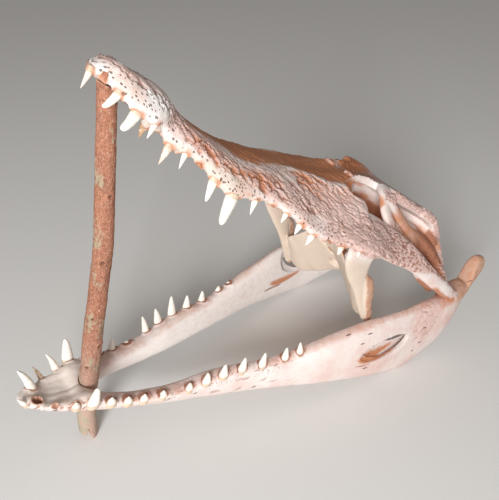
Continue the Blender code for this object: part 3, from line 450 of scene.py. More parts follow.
class SkullBone(bpy.types.PropertyGroup):
    """Fineness, relief and colours of the bones."""
    voxel: relief("Fineness", 1.06, 0.6, "Size of the squares of the bone's skin")
    softening: IntProperty(
        name="Softening", default=7, min=0,
        description="Rounds of smoothing where the struts meet")
    wrinkle: relief("Wrinkle depth", 2.6, 0, "Height of the ridges on the snout")
    pit: relief("Pit depth", 1.5, 0, "Depth of the pits of the cheek and skull table")
    pale: tint("Pale bone", (0.78, 0.69, 0.65), "Colour of clean smooth bone")
    rosy: tint("Rosy bone", (0.72, 0.51, 0.46), "Colour of the rough outer bone")
    white: tint("Bleached bone", (0.88, 0.83, 0.80), "Colour where the bone is bleached")
    cream: tint("Cream bone", (0.68, 0.565, 0.46), "Colour of the yellowed wings and chin")
    # Amber brown: real stains, and painted shade where the bone lies deep or faces away from the
    # light
    amber_stain_and_shade: tint("Amber stain and painted shade", (0.56, 0.20, 0.075), "Colour of the stains")
    # Dark brown: dirt in pits, crevices and sockets, together with painted shade there
    crevice: tint("Crevices", (0.33, 0.135, 0.085), "Colour in pits and between wrinkles")


class SkullTooth(bpy.types.PropertyGroup):
    """Colours of the teeth."""
    enamel: tint("Enamel", (0.93, 0.89, 0.82), "Colour of the crowns")
    cloudy: tint("Cloudy enamel", (0.80, 0.66, 0.46), "Colour of the mottling")
    cracks: tint("Cracks", (0.60, 0.44, 0.28), "Colour of the fine cracks")
    neck: tint("Neck", (0.52, 0.30, 0.14), "Colour at the gum line")


class SkullBranch(bpy.types.PropertyGroup):
    """Fineness and colours of the prop."""
    voxel: relief("Fineness", 0.85, 0.4, "Size of the squares of the branch's skin")
    bark: tint("Bark", (0.30, 0.13, 0.08), "Colour of the bark")
    specks: tint("Specks", (0.62, 0.42, 0.34), "Colour of the fine pale specks")
    worn: tint("Worn bark", (0.60, 0.47, 0.39), "Colour of the paler bark near the foot")
    lichen: tint("Lichen", (0.36, 0.36, 0.25), "Colour of the lichen patches")
    wood: tint("Bare wood", (0.66, 0.36, 0.24), "Colour of the broken ends")


class SkullStage(bpy.types.PropertyGroup):
    """Camera, lights and floor."""
    lens: FloatProperty(
        name="Lens", default=43.29, description="Focal length on a 36 mm sensor")
    camera_at: spot("Camera", (-0.28018, -0.39820, 0.46670), "Where the camera stands")
    camera_turn: FloatVectorProperty(
        name="Camera turn", subtype="EULER",
        default=(math.radians(56.57), 0.0, math.radians(-33.25)),
        description="The camera's rotation")
    key: FloatProperty(
        name="Key light", default=39.0, unit="POWER", description="Power of the soft key light")
    key_width: FloatProperty(
        name="Key width", default=0.7, unit="LENGTH", description="Width of the round key light")
    key_at: spot("Key place", (-1.22, -1.26, 0.82), "Where the key light hangs")
    key_aim: spot("Key aim", (0.0, 0.0, 0.15), "What the key light points at")
    sky: FloatProperty(
        name="Room light", default=0.27, description="Strength of the even room light")
    sky_colour: tint("Room light's colour", (1.0, 0.96, 0.92), "Colour of the room light")
    floor_colour: tint("Floor", (0.80, 0.79, 0.77), "Colour of the floor")
    floor_reach: FloatProperty(
        name="Floor reach", default=8.0, unit="LENGTH",
        description="How far the floor goes on each side")


# ------------------------------------------------------------------ curves and noise

def smooth(stations, values, at):
    """Cubic through the stations whose slopes are limited, so that it never overshoots."""
    stations = np.asarray(stations, float)
    values = np.asarray(values, float).reshape(len(stations), -1)
    step = np.diff(stations)[:, None]
    slope = np.diff(values, axis=0) / step
    before, after = slope[:-1], slope[1:]
    agree = before * after > 0
    weight_1 = 2 * step[1:] + step[:-1]
    weight_2 = step[1:] + 2 * step[:-1]
    safe_before = np.where(agree, before, 1.0)
    safe_after = np.where(agree, after, 1.0)
    mean = (weight_1 + weight_2) / (weight_1 / safe_before + weight_2 / safe_after)
    tangent = np.vstack([slope[:1], np.where(agree, mean, 0.0), slope[-1:]])
    at = np.clip(np.asarray(at, float), stations[0], stations[-1])
    i = np.clip(np.searchsorted(stations, at, side="right") - 1, 0, len(stations) - 2)
    h = step[i]
    t = ((at - stations[i]) / h[:, 0])[:, None]
    return (values[i] * (1 + 2 * t) * (1 - t) ** 2 + tangent[i] * h * t * (1 - t) ** 2
            + values[i + 1] * t * t * (3 - 2 * t) + tangent[i + 1] * h * t * t * (t - 1))


def columns(rows, at):
    """The rows' smooth values at the given stations, each value as one column."""
    rows = np.asarray(rows, float)
    return smooth(rows[:, 0], rows[:, 1:], at).T[..., None]


def circle(count):
    """Cosine and sine of equal steps round a circle, each as one row."""
    angle = np.linspace(0, 2 * np.pi, count, endpoint=False)[None]
    return np.cos(angle), np.sin(angle)


def bent(value, power):
    """The value's size raised to a power, with its sign kept: it squares off a circle."""
    return np.sign(value) * np.abs(value) ** power


def most(*values):
    """The greatest of several arrays, point by point."""
    return functools.reduce(np.maximum, values)


def rise(value, low, high):
    """0 below low, 1 above high and an S curve between; low may be the greater."""
    t = np.clip((value - low) / (high - low), 0, 1)
    return t * t * (3 - 2 * t)


def patch(measures, **spans):
    """Weight from 0 to 1 of a soft-edged region, as the product of its measures' weights.

    A span's two numbers are where the measure's weight starts to grow and where it is full,
    and two more are where it starts to fade and where it is gone. A measure whose span is
    None is itself a weight.
    """
    weight = 1.0
    for name, span in spans.items():
        if span is None:
            weight = weight * measures[name]
            continue
        start, full, *end = span
        weight = weight * rise(measures[name], start, full)
        if end:
            fade, gone = end
            weight = weight * rise(measures[name], gone, fade)
    return weight


def strongest(measures, patches):
    """The greatest of several patches, each with its strength."""
    return most(*(strength * patch(measures, **spans) for strength, spans in patches))


def hashed(cell, salt):
    """A fixed number from 0 to 1 for each whole-numbered cell, by mixing its bits."""
    a = cell.astype(np.int64).astype(np.uint32)
    h = a[..., 0] * np.uint32(374761393) + a[..., 1] * np.uint32(668265263)
    h = h + a[..., 2] * np.uint32(2246822519) + np.uint32((salt * 3266489917) & 0xFFFFFFFF)
    h = (h ^ (h >> np.uint32(15))) * np.uint32(2654435761)
    h = (h ^ (h >> np.uint32(13))) * np.uint32(1274126177)
    return (h ^ (h >> np.uint32(16))) / 4294967295.0


def noise(place, salt=0):
    """Value noise from 0 to 1: the cells' numbers blended with S curves."""
    cell = np.floor(place)
    t = place - cell
    t = t * t * t * (t * (6 * t - 15) + 10)
    total = np.zeros(len(place))
    for corner in itertools.product((0, 1), repeat=3):
        weight = np.prod(np.where(corner, t, 1 - t), axis=1)
        total += weight * hashed(cell + corner, salt)
    return total


TURN = np.array(((0.36, 0.48, -0.80), (-0.80, 0.60, 0.0), (0.48, 0.64, 0.60)))


def cloud(place, octaves=3, salt=0):
    """Octaves of noise from 0 to 1, each half as strong, twice as fine and turned."""
    total, weight = np.zeros(len(place)), 0.0
    for k in range(octaves):
        total += 0.5 ** k * noise(place, salt + k)
        weight += 0.5 ** k
        place = place @ TURN * 2.03 + 7.7
    return total / weight


def cells(flat, salt=0, share=1.0):
    """Distance over the flat chart to the nearest seed, one in each cell, and its number.

    share is the part of the cells that have a seed at all.
    """
    base = np.floor(flat)
    best = np.full(len(flat), 4.0)
    mark = np.zeros(len(flat))
    for step in itertools.product((-1, 0, 1), (-1, 0, 1), (0,)):
        cell = base + step
        seed = cell[:, :2] + np.stack([hashed(cell, salt + k) for k in range(2)], axis=1)
        number = hashed(cell, salt + 3)
        far = np.linalg.norm(seed - flat[:, :2], axis=1) + 9.0 * (number > share)
        nearer = far < best
        best = np.where(nearer, far, best)
        mark = np.where(nearer, number, mark)
    return best, mark


def chart(place):
    """The skin unrolled: along the head, over it from the midline, and the two sides."""
    x, y, z = place.T
    return np.stack([x, np.abs(y) - z, 40.0 * np.sign(y)], axis=1)


def masked(weight, function, *arguments):
    """The function's result where weight is above 0, and 0 elsewhere, to save time."""
    on = weight > 0.01
    result = np.zeros(len(weight))
    if on.any():
        result[on] = function(*[a[on] if isinstance(a, np.ndarray) else a for a in arguments])
    return result


# ------------------------------------------------------------------ meshes

def ring_mesh(rings, name="solid"):
    """Closed mesh through equal rings of points: squares between them, flat end caps."""
    count, around = rings.shape[:2]
    i, j = np.meshgrid(np.arange(count - 1), np.arange(around), indexing="ij")
    k = (j + 1) % around
    quads = np.stack([i * around + j, i * around + k, (i + 1) * around + k,
                      (i + 1) * around + j], axis=2).reshape(-1, 4)
    faces = [tuple(q) for q in quads.tolist()]
    last = (count - 1) * around
    faces += [tuple(range(around - 1, -1, -1)), tuple(range(last, last + around))]
    mesh = bpy.data.meshes.new(name)
    mesh.from_pydata(rings.reshape(-1, 3).tolist(), [], faces)
    outward(mesh)
    return mesh


def outward(mesh):
    """Turns the faces of a closed mesh outwards."""
    bm = bmesh.new()
    bm.from_mesh(mesh)
    bmesh.ops.recalc_face_normals(bm, faces=bm.faces)
    bm.to_mesh(mesh)
    bm.free()


def mirrored(mesh):
    """The same solid on the other side of the head."""
    other = mesh.copy()
    other.transform(Matrix.Scale(-1, 4, (0, 1, 0)))
    other.flip_normals()
    return other


def both_sides(meshes):
    """The solids and their mirror images."""
    return list(meshes) + [mirrored(m) for m in meshes]


def strut(rows, width_direction, sides=28, steps=44, power=2.4):
    """A superellipse profile carried along a smooth path.

    rows are (x, y, z, half width, half thickness); width_direction gives the way the
    profile's width points, as a function of the part of the way along.
    """
    rows = np.asarray(rows, float)
    length = np.r_[0, np.cumsum(np.linalg.norm(np.diff(rows[:, :3], axis=0), axis=1))]
    part = np.linspace(0, 1, steps)
    at = smooth(length / length[-1], rows, part)
    along = np.gradient(at[:, :3], axis=0)
    along /= np.linalg.norm(along, axis=1)[:, None]
    wide = np.array([width_direction(t) for t in part], float)
    wide -= along * np.sum(wide * along, axis=1)[:, None]
    wide /= np.linalg.norm(wide, axis=1)[:, None]
    thick = np.cross(along, wide)
    u, v = (bent(wave, 2 / power)[..., None] for wave in circle(sides))
    return ring_mesh(at[:, None, :3] + wide[:, None] * u * at[:, None, 3:4]
                     + thick[:, None] * v * at[:, None, 4:5])


def along_x(xs, y, z):
    """Closed mesh through sections that stand across the X axis."""
    return ring_mesh(np.stack([xs[:, None] + 0 * y, y, z], axis=2))


def blob(shape, sides=40, steps=24):
    """Ellipsoid of a centre and half sizes: rings of latitude around the X axis."""
    centre, half = np.split(np.asarray(shape, float), 2)
    tilt = np.linspace(0.03, np.pi - 0.03, steps)[:, None]
    c, s = circle(sides)
    unit = np.stack([np.cos(tilt) + 0 * c, np.sin(tilt) * c, np.sin(tilt) * s], axis=2)
    return ring_mesh(centre + unit * half)


def joined(meshes):
    """One mesh holding all the given closed bodies."""
    bm = bmesh.new()
    for mesh in meshes:
        bm.from_mesh(mesh)
    result = bpy.data.meshes.new("joined")
    bm.to_mesh(result)
    bm.free()
    return result


def worked(mesh, *modifiers):
    """The mesh after the given modifiers, each a type and its settings."""
    thing = bpy.data.objects.new("work", mesh)
    bpy.context.scene.collection.objects.link(thing)
    helpers = []
    for kind, settings in modifiers:
        modifier = thing.modifiers.new(kind.lower(), kind)
        for key, value in settings.items():
            if isinstance(value, bpy.types.Mesh):
                value = bpy.data.objects.new("helper", value)
                bpy.context.scene.collection.objects.link(value)
                helpers.append(value)
            setattr(modifier, key, value)
    graph = bpy.context.evaluated_depsgraph_get()
    graph.update()
    result = bpy.data.meshes.new_from_object(thing.evaluated_get(graph))
    for used in helpers + [thing]:
        bpy.data.objects.remove(used)
    return result


def minus(mesh, *cutters):
    """The mesh with each of the cutters taken out of it."""
    for cutter in cutters:
        mesh = worked(mesh, ("BOOLEAN", {"operation": "DIFFERENCE", "object": cutter}))
    return mesh


def fused(meshes, voxel, rounds):
    """One skin of small squares over all the overlapping bodies, smoothed some rounds."""
    return worked(joined(meshes), ("REMESH", {"mode": "VOXEL", "voxel_size": voxel}),
                  ("SMOOTH", {"factor": 0.5, "iterations": rounds}))


def arrays(mesh):
    """Points, outward normals and faces of four corners of a remeshed skin."""
    place = np.empty(len(mesh.vertices) * 3)
    mesh.vertices.foreach_get("co", place)
    normal = np.empty(len(mesh.vertices) * 3)
    mesh.vertex_normals.foreach_get("vector", normal)
    corner = np.empty(len(mesh.loops), int)
    mesh.loops.foreach_get("vertex_index", corner)
    return place.reshape(-1, 3), normal.reshape(-1, 3), corner.reshape(-1, 4)


def placed(points, matrix):
    """Points of a bone's frame, in mm, set in the row's frame in metres."""
    whole = Matrix.Scale(MM, 4) @ Matrix.Translation(FRAME_SHIFT) @ matrix
    m = np.array(whole)
    return points @ m[:3, :3].T + m[:3, 3]


def piece(name, mesh, finish, slot, *stands_for):
    """One finished piece that rides on the body and replaces nodes."""
    mesh.name = name
    mesh.materials.clear()
    mesh.materials.append(finish)
    thing = bpy.data.objects.new(name, mesh)
    bpy.context.scene.collection.objects.link(thing)
    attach(thing, BODY)
    if stands_for:
        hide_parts(*stands_for)
    return thing


def keep_marks(mesh, marks):
    """Keeps each array of numbers or of vectors as an attribute of the mesh's points."""
    for label, value in marks.items():
        kind, field = ("FLOAT_VECTOR", "vector") if value.ndim == 2 else ("FLOAT", "value")
        layer = mesh.attributes.new(label, kind, "POINT")
        layer.data.foreach_set(field, value.astype(np.float32).ravel())


def skin_piece(name, points, marks, quads, finish, *stands_for):
    """A part of a bone's skin as a piece: its faces, with the cut edges closed by caps."""
    used, faces = np.unique(quads, return_inverse=True)
    mesh = bpy.data.meshes.new(name)
    mesh.from_pydata(points[used], [], faces.reshape(-1, 4))
    keep_marks(mesh, {label: value[used] for label, value in marks.items()})
    bm = bmesh.new()
    bm.from_mesh(mesh)
    for face in bm.faces:
        face.smooth = True
    rim = [edge for edge in bm.edges if len(edge.link_faces) == 1]
    if rim:
        caps = bmesh.ops.holes_fill(bm, edges=rim, sides=0)["faces"]
        for edge in rim:
            edge.smooth = False
        bmesh.ops.triangulate(bm, faces=caps)
    bm.to_mesh(mesh)
    bm.free()
    return piece(name, mesh, finish, "bone", *stands_for)


# ------------------------------------------------------------------ cranium

def face():
    """Snout and face: one closed section carried from the snout tip to the orbits.

    Its upper half is a superellipse between the shoulders, its lower half a palate
    between two tooth rows, each a bell curve across the section.
    """
    xs = np.r_[np.linspace(FACE[0][0], 20, 24), np.linspace(21.5, FACE[-1][0], 150)]
    width, margin, top, palate, p, q = columns(FACE, xs)
    c, s = circle(120)
    y = width * bent(c, 0.85)
    share = np.clip(np.abs(y) / width, 0, 1)
    side = margin + SHOULDER
    above = side + (top - side) * (1 - share ** p) ** (1 / q)
    crest, height, valley = columns(RIDGE, xs)
    above += height * np.exp(-((np.abs(y) - crest) / RIDGE_WIDTH) ** 2)
    above -= valley * np.exp(-(y / VALLEY_WIDTH) ** 2)
    inset, more_inset, spread, more_spread = TOOTH_ROW
    back = np.clip((xs[:, None] - 25) / 35, 0, 1)
    row_y = width - inset - more_inset * back
    tooth_row = np.exp(-((np.abs(y) - row_y) / (spread + more_spread * back)) ** 2)
    floor = palate + (margin - palate) * tooth_row
    below = side - (side - floor) * (1 - share ** 6) ** (1 / 3)
    return along_x(xs, y, np.where(s >= 0, above, below))


def roof():
    """Skull roof: a flat section that widens from the bar between the orbits."""
    xs = np.linspace(ROOF[0][0], ROOF[-1][0], 80)
    width, top, thick, rim = columns(ROOF, xs)
    c, s = circle(72)
    y = width * bent(c, 0.6)
    z = top - thick / 2 + thick / 2 * bent(s, 0.5)
    z = z + np.where(s > 0, rim * (np.abs(y) / width) ** 4 - rim / 2, 0)
    hump_x, length, height, start, full = HUMP
    swell = height * rise(y, start, full) * np.exp(-((xs[:, None] - hump_x) / length) ** 2)
    return along_x(xs, y, z + (s > 0) * swell)


def braincase():
    """Upright superellipse sections from behind the orbits to the back of the head."""
    xs = np.linspace(BRAINCASE[0][0], BRAINCASE[-1][0], 30)
    width, low, high = columns(BRAINCASE, xs)
    c, s = circle(48)
    return along_x(xs, width * bent(c, 0.8), (high + low) / 2 + (high - low) / 2 * bent(s, 0.8))


def jugal():
    """Broad plate beside the orbit that narrows to the bar of the cheek."""
    first, last = JUGAL[0][0], JUGAL[-1][0]

    def wide(part):
        sine = np.interp(first + part * (last - first), *np.transpose(JUGAL_LEAN))
        return (0, sine, -math.sqrt(1 - sine * sine))
    return strut(JUGAL, wide, sides=40, steps=90)


def hung(rows, side, width_direction, **settings):
    """A strut of one pterygoid wing, which hangs lower on one side than on the other."""
    made = strut(np.asarray(rows) * (1, 1, PTERYGOID_DROP[side], 1, 1), width_direction, **settings)
    return made if side > 0 else mirrored(made)


def wing(side):
    """Pterygoid wing: a thin plate sloping down to the back and to its free edge."""
    at_middle, at_edge = PTERYGOID_SLOPE

    def wide(part):
        sine = at_middle + (at_edge - at_middle) * part
        return (math.sqrt(1 - sine * sine), 0, -sine)
    return minus(hung(PTERYGOID, side, wide, sides=40, steps=50), blob(CHOANA))


def ectopterygoid(side):
    """Strap from the cheek down the front of the wing to its tip."""
    top, bottom = np.asarray(ECTOPTERYGOID_WIDTH)
    return hung(ECTOPTERYGOID, side, lambda part: top + (bottom - top) * min(1, 2.5 * part))


def wing_edge(side):
    """Thick rough edge along the free end of the wing."""
    return hung(WING_EDGE, side, lambda part: (0.69, 0, 0.72))


def orbit_space():
    """Orbit and the space under it: a column of ellipses through roof and palate."""
    zs = np.linspace(ORBIT_SPACE[0][0], ORBIT_SPACE[-1][0], 50)
    cx, cy, a, b = columns(ORBIT_SPACE, zs)
    c, s = circle(48)
    x = cx + a * c
    return ring_mesh(np.stack([x, cy + b * s, zs[:, None] + 0 * x], axis=2))


def condyles():
    """The rollers of the jaw joint on one side."""
    return [blob((x, y, z, r, CONDYLE_HALF_WIDTH, r)) for x, y, z, r in CONDYLE]


def cranium_skin(bone):
    """The whole cranium without teeth as one skin, in its own frame."""
    across = (lambda part: (0, 1, 0))
    upright = (lambda part: (0, 0, 1))
    fore_aft = (lambda part: (1, 0, 0))
    front, rear = np.asarray(QUADRATE_WIDTH)
    shell = fused([face(), roof(), braincase()] + both_sides([jugal()]), SHELL_VOXEL, 3)
    spaces = both_sides([orbit_space(), blob(TEMPORAL_WINDOW)])
    shell = minus(shell, *spaces, blob(NARIS), blob(FORAMEN_MAGNUM))
    sides = [
        strut(POSTORBITAL_BAR, fore_aft),
        strut(TEMPORAL_BAR, lambda part: (0, 0.5, -0.85)),
        strut(QUADRATE_KEEL, upright),
        strut(QUADRATE, lambda part: front + (rear - front) * part ** 2),
        strut(QUADRATE_ROOT, fore_aft),
        strut(SQUAMOSAL_HORN, across),
        strut(PAROCCIPITAL, upright),
        strut(PREFRONTAL_PILLAR, across),
    ]
    wings = [shape(side) for shape in (wing, ectopterygoid, wing_edge) for side in (-1, 1)]
    middle = [strut(PALATINE, across), strut(BASIOCCIPITAL, across), blob(OCCIPITAL_CONDYLE)]
    return fused([shell] + both_sides(sides + condyles()) + middle + wings,
                 bone.voxel, bone.softening)


# Edge of the brown top of the snout, stain with painted shade: x and distance from the midline
CREST = np.c_[((60, 91, 113, 131, 150), (12, 16, 18, 23, 27)), np.transpose(RIDGE)[:2]]
# Lower edges of the wrinkled snout and of the pitted cheek: x and z
WRINKLE_EDGE = ((0, 20, 45, 60, 75, 110, 150, 200, 262), (29, 29, 25, 20, 10, 4, 2, 3, 10))
CHEEK_EDGE = ((205, 325, 350, 376, 428), (-10, -6, 2, 8, 1))
# Where the ragged rear end of the wing starts: z and x
WING_END = ((-70, -61, -52, -43, -33, -26), (357, 349, 339, 331, 321, 313))


def cranium_zones(place, normal):
    """Measures of each point of the cranium, and the weights of its kinds of surface."""
    x, y, z = place.T
    away = np.abs(y)
    out = normal[:, 1] * np.sign(y)
    up = normal[:, 2]
    cx, cy, a, b = columns(ORBIT_SPACE, z)[..., 0]
    crest = np.interp(x, *CREST)
    m = {"x": x, "y": y, "z": z, "away": away, "out": out, "up": up, "up_or_out": up + out,
         "facing": up + 0.75 * out, "lower": normal[:, 0] + up, "x_and_z": x + z,
         "orbit": ((x - cx) / a) ** 2 + ((away - cy) / b) ** 2,
         "over_wrinkle_edge": z - np.interp(x, *WRINKLE_EDGE) - 3 * (cloud(place / 8, 2, 15) - 0.5),
         "over_cheek_edge": z - np.interp(x, *CHEEK_EDGE),
         "past_crest": away - crest, "off_crest": np.abs(away - crest)}
    m["outside"] = most(patch(m, orbit=(1.02, 1.22)), patch(m, x=(298, 303), away=(33, 37)))
    m["skin"] = patch(m, facing=(0.05, 0.45))
    m["snout"] = patch(m, x=(292, 262), skin=None, outside=None)
    m["wrinkle"] = patch(m, snout=None, over_wrinkle_edge=(-2, 3))
    m["wrinkle"] *= (1 - 0.4 * patch(m, past_crest=(2, 8), x=(200, 232))
                     - 0.3 * patch(m, away=(58, 72), x=(200, 225)))
    m["wrinkle"] *= 1 - 0.75 * patch(m, up=(0.78, 0.95))
    m["brow"] = patch(m, off_crest=(7, 1), x=(180, 196, 258, 274), skin=None)
    m["cheek"] = patch(m, away=(52, 62), out=(0.15, 0.5), x=(205, 238, 408, 432),
                       orbit=(1.05, 1.3), over_cheek_edge=(-2, 3))
    m["cheek"] *= 1 - patch(m, x=(330, 350), away=(68, 62))
    m["table"] = most(
        patch(m, up=(0.45, 0.8), z=(46, 51), x=(262, 280)),
        patch(m, away=(33, 37), x=(298, 304), z=(44.5, 47), up_or_out=(0.1, 0.5)),
        patch(m, x=(384, 392), away=(46, 50), up_or_out=(0.2, 0.7), x_and_z=(424, 430)),
    ) * m["outside"]
    m["valley"] = patch(m, snout=None, up=(0.5, 0.8), x=(50, 90))
    return m


def wrinkles(flat, lean=0.7, size=4.0):
    """Rounded ridges from 0, in the crevices, to 1 that run back and outwards.

    Noise that is fine across the ridges and long along them is folded about its middle:
    it is lowest along the lines where it crosses the middle.
    """
    sway = 2.2 * noise(flat / 12.0, 5) + 0.9 * noise(flat / 4.5, 6)
    across = (flat[:, 1] - lean * flat[:, 0]) / size + sway
    q = np.stack([across, flat[:, 0] / (1.9 * size) + 0.5 * sway, flat[:, 2]], axis=1)
    broad = rise(np.abs(2 * noise(q, 11) - 1), 0.0, 0.45)
    fine = rise(np.abs(2 * noise(q * (2.2, 2.0, 1.0) + 3.7, 12) - 1), 0.0, 0.5)
    return 0.72 * broad + 0.28 * fine


def pits(flat, size, salt, stretch=1.0, share=0.95):
    """Round pits from 0 to 1, deepest at the seeds of the cells; stretch lengthens them."""
    sway = noise(flat / (1.6 * size), salt + 9)[:, None] * (0.6, 0.6, 0.0)
    far, mark = cells(flat / (size * stretch, size, 40.0) + sway, salt, share)
    reach = 0.30 + 0.24 * mark
    return 1 - rise(far, 0.25 * reach, 1.35 * reach)


def sockets(place, teeth, lost, side, up):
    """Depth, rim and stain of the tooth sockets of one side.

    A tooth in place has a thin ring around its neck and a swollen rim outside it; a lost
    one leaves a pit as wide as the tooth. All are functions of the distance to the tooth's
    axis over its radius, and fade away from the tooth margin.
    """
    depth = np.zeros(len(place))
    rim = np.zeros(len(place))
    stain = np.zeros(len(place))
    for name, row in teeth.items():
        x, y, z, _, radius = row[:5]
        near = (np.abs(place[:, 0] - x) < 14) & (np.abs(place[:, 1] - side * y) < 14)
        near &= np.abs(place[:, 2] - z) < 9
        p = place[near]
        reach = rise(np.abs(p[:, 2] - z), 6.0, 3.0)
        uneven = 0.35 * (noise(p / 2.5, 31) - 0.5)
        far = np.hypot(p[:, 0] - x, p[:, 1] - side * y) / radius + uneven
        hole = 5.5 * rise(far, 1.15, 0.7) if name in lost else 0.9 * rise(far, 1.3, 1.1)
        depth[near] = np.maximum(depth[near], hole * reach)
        off = (far - 1) * radius
        rim[near] = np.maximum(rim[near], 1.8 * reach * rise(off, 2.8, 0.9))
        stain[near] = np.maximum(stain[near], reach * rise(off, 3.0, 0.6))
    return depth * -up, rim * up, stain


def dips(mesh, place, normal, rounds=36):
    """How deep in a hollow each point lies, in mm: how far smoothing lifts it outwards."""
    lifted = arrays(worked(mesh, ("SMOOTH", {"factor": 0.5, "iterations": rounds})))[0]
    return np.sum((lifted - place) * normal, axis=1)


# Patches of the cranium, each a span for each measure, as patch() reads them
# Painted shade, with some stain: the braincase wall deep under the roof
BRAINCASE_WALL = {"x": (296, 304, 344, 356), "z": (-6, 4, 32, 40), "away": (26, 20)}
# Painted shade under the jaw joint
JOINT_UNDERSIDE = {"x": (380, 396), "z": (22, 12), "lower": (0.1, -0.5)}
# Painted shade, with some stain, on the quadrate behind the cheek
CHEEK_SHADE = {"x": (352, 372), "away": (47, 52, 74, 79), "over_horn": (-4, -10), "z": (3, 8)}
WING_RAG = {"away": (56, 60), "past_wing_end": (-1, 2), "z": (-20, -26)}
# Stain, with painted shade, on the middle of the roof, which faces away from the light
ROOF_MIDDLE = {"blotched_away": (15, 7), "x": (250, 264), "blotched_x": (335, 305), "z": (40, 44)}
# Stain, with painted shade, on the far orbit's rim, which faces away from the light
RIGHT_RIM = {"blotched_y": (2, 14), "x": (278, 290), "blotched_x": (350, 315), "z": (42, 50)}
# Painted shade, with some stain, on the floor of the orbit
ORBIT_FLOOR = {"x": (240, 255, 325, 345), "z": (38, 30), "away": (32, 26), "up": (-0.2, 0.4)}
BAR_STRAP = {"off_bar_y": (9, 5), "off_bar_z": (11, 7), "x": (312, 324, 404, 422)}
BACK_OF_HEAD = {"x": (300, 312), "z": (4, 12, 36, 44), "away": (76, 66), "spread": (0.35, 0.6)}
# Strength of each brown stain, and its patch; several are painted shade where the bone lies deep or
# faces away from the light
CRANIUM_STAINS_AND_SHADE = (
    (0.85, ROOF_MIDDLE),
    (0.40, {"snout": None, "spread": (0.55, 0.75)}),
    (0.80, {"socket": None}),
    (0.75, {"x": (400, 425), "z": (12, 0), "away": (84, 78)}),
    # Painted shade, with some stain, down inside the orbits and openings
    (1.00, {"inside": None, "z": (50, 42)}),
    (1.00, RIGHT_RIM),
    (1.00, ORBIT_FLOOR),
    (1.00, BRAINCASE_WALL),
    (0.85, JOINT_UNDERSIDE),
    (0.95, CHEEK_SHADE),
    (0.70, BAR_STRAP),
    # Stain gathered deep in hollows, with painted shade there
    (0.85, {"dip": (0.25, 2.0)}),
    (0.80, BACK_OF_HEAD),
    (0.60, WING_RAG),
)
# Painted shade: these patches are darkened further with the crevice colour
CRANIUM_SHADES = ((0.6, BRAINCASE_WALL), (0.4, JOINT_UNDERSIDE), (0.75, CHEEK_SHADE))
# Bleached patches add up
CRANIUM_BLEACH = (
    (1.0, {"x": (66, 50), "z": (32, 27)}),
    (0.5, {"spread": (0.55, 0.8)}),
    (0.5, {"x": (130, 70), "z": (14, 6)}),
    (0.4, {"inside": None, "z": (40, 46), "away": (34, 28)}),
    (0.8, {"brow": None, "over_stain_edge": (-4, 4)}),
)


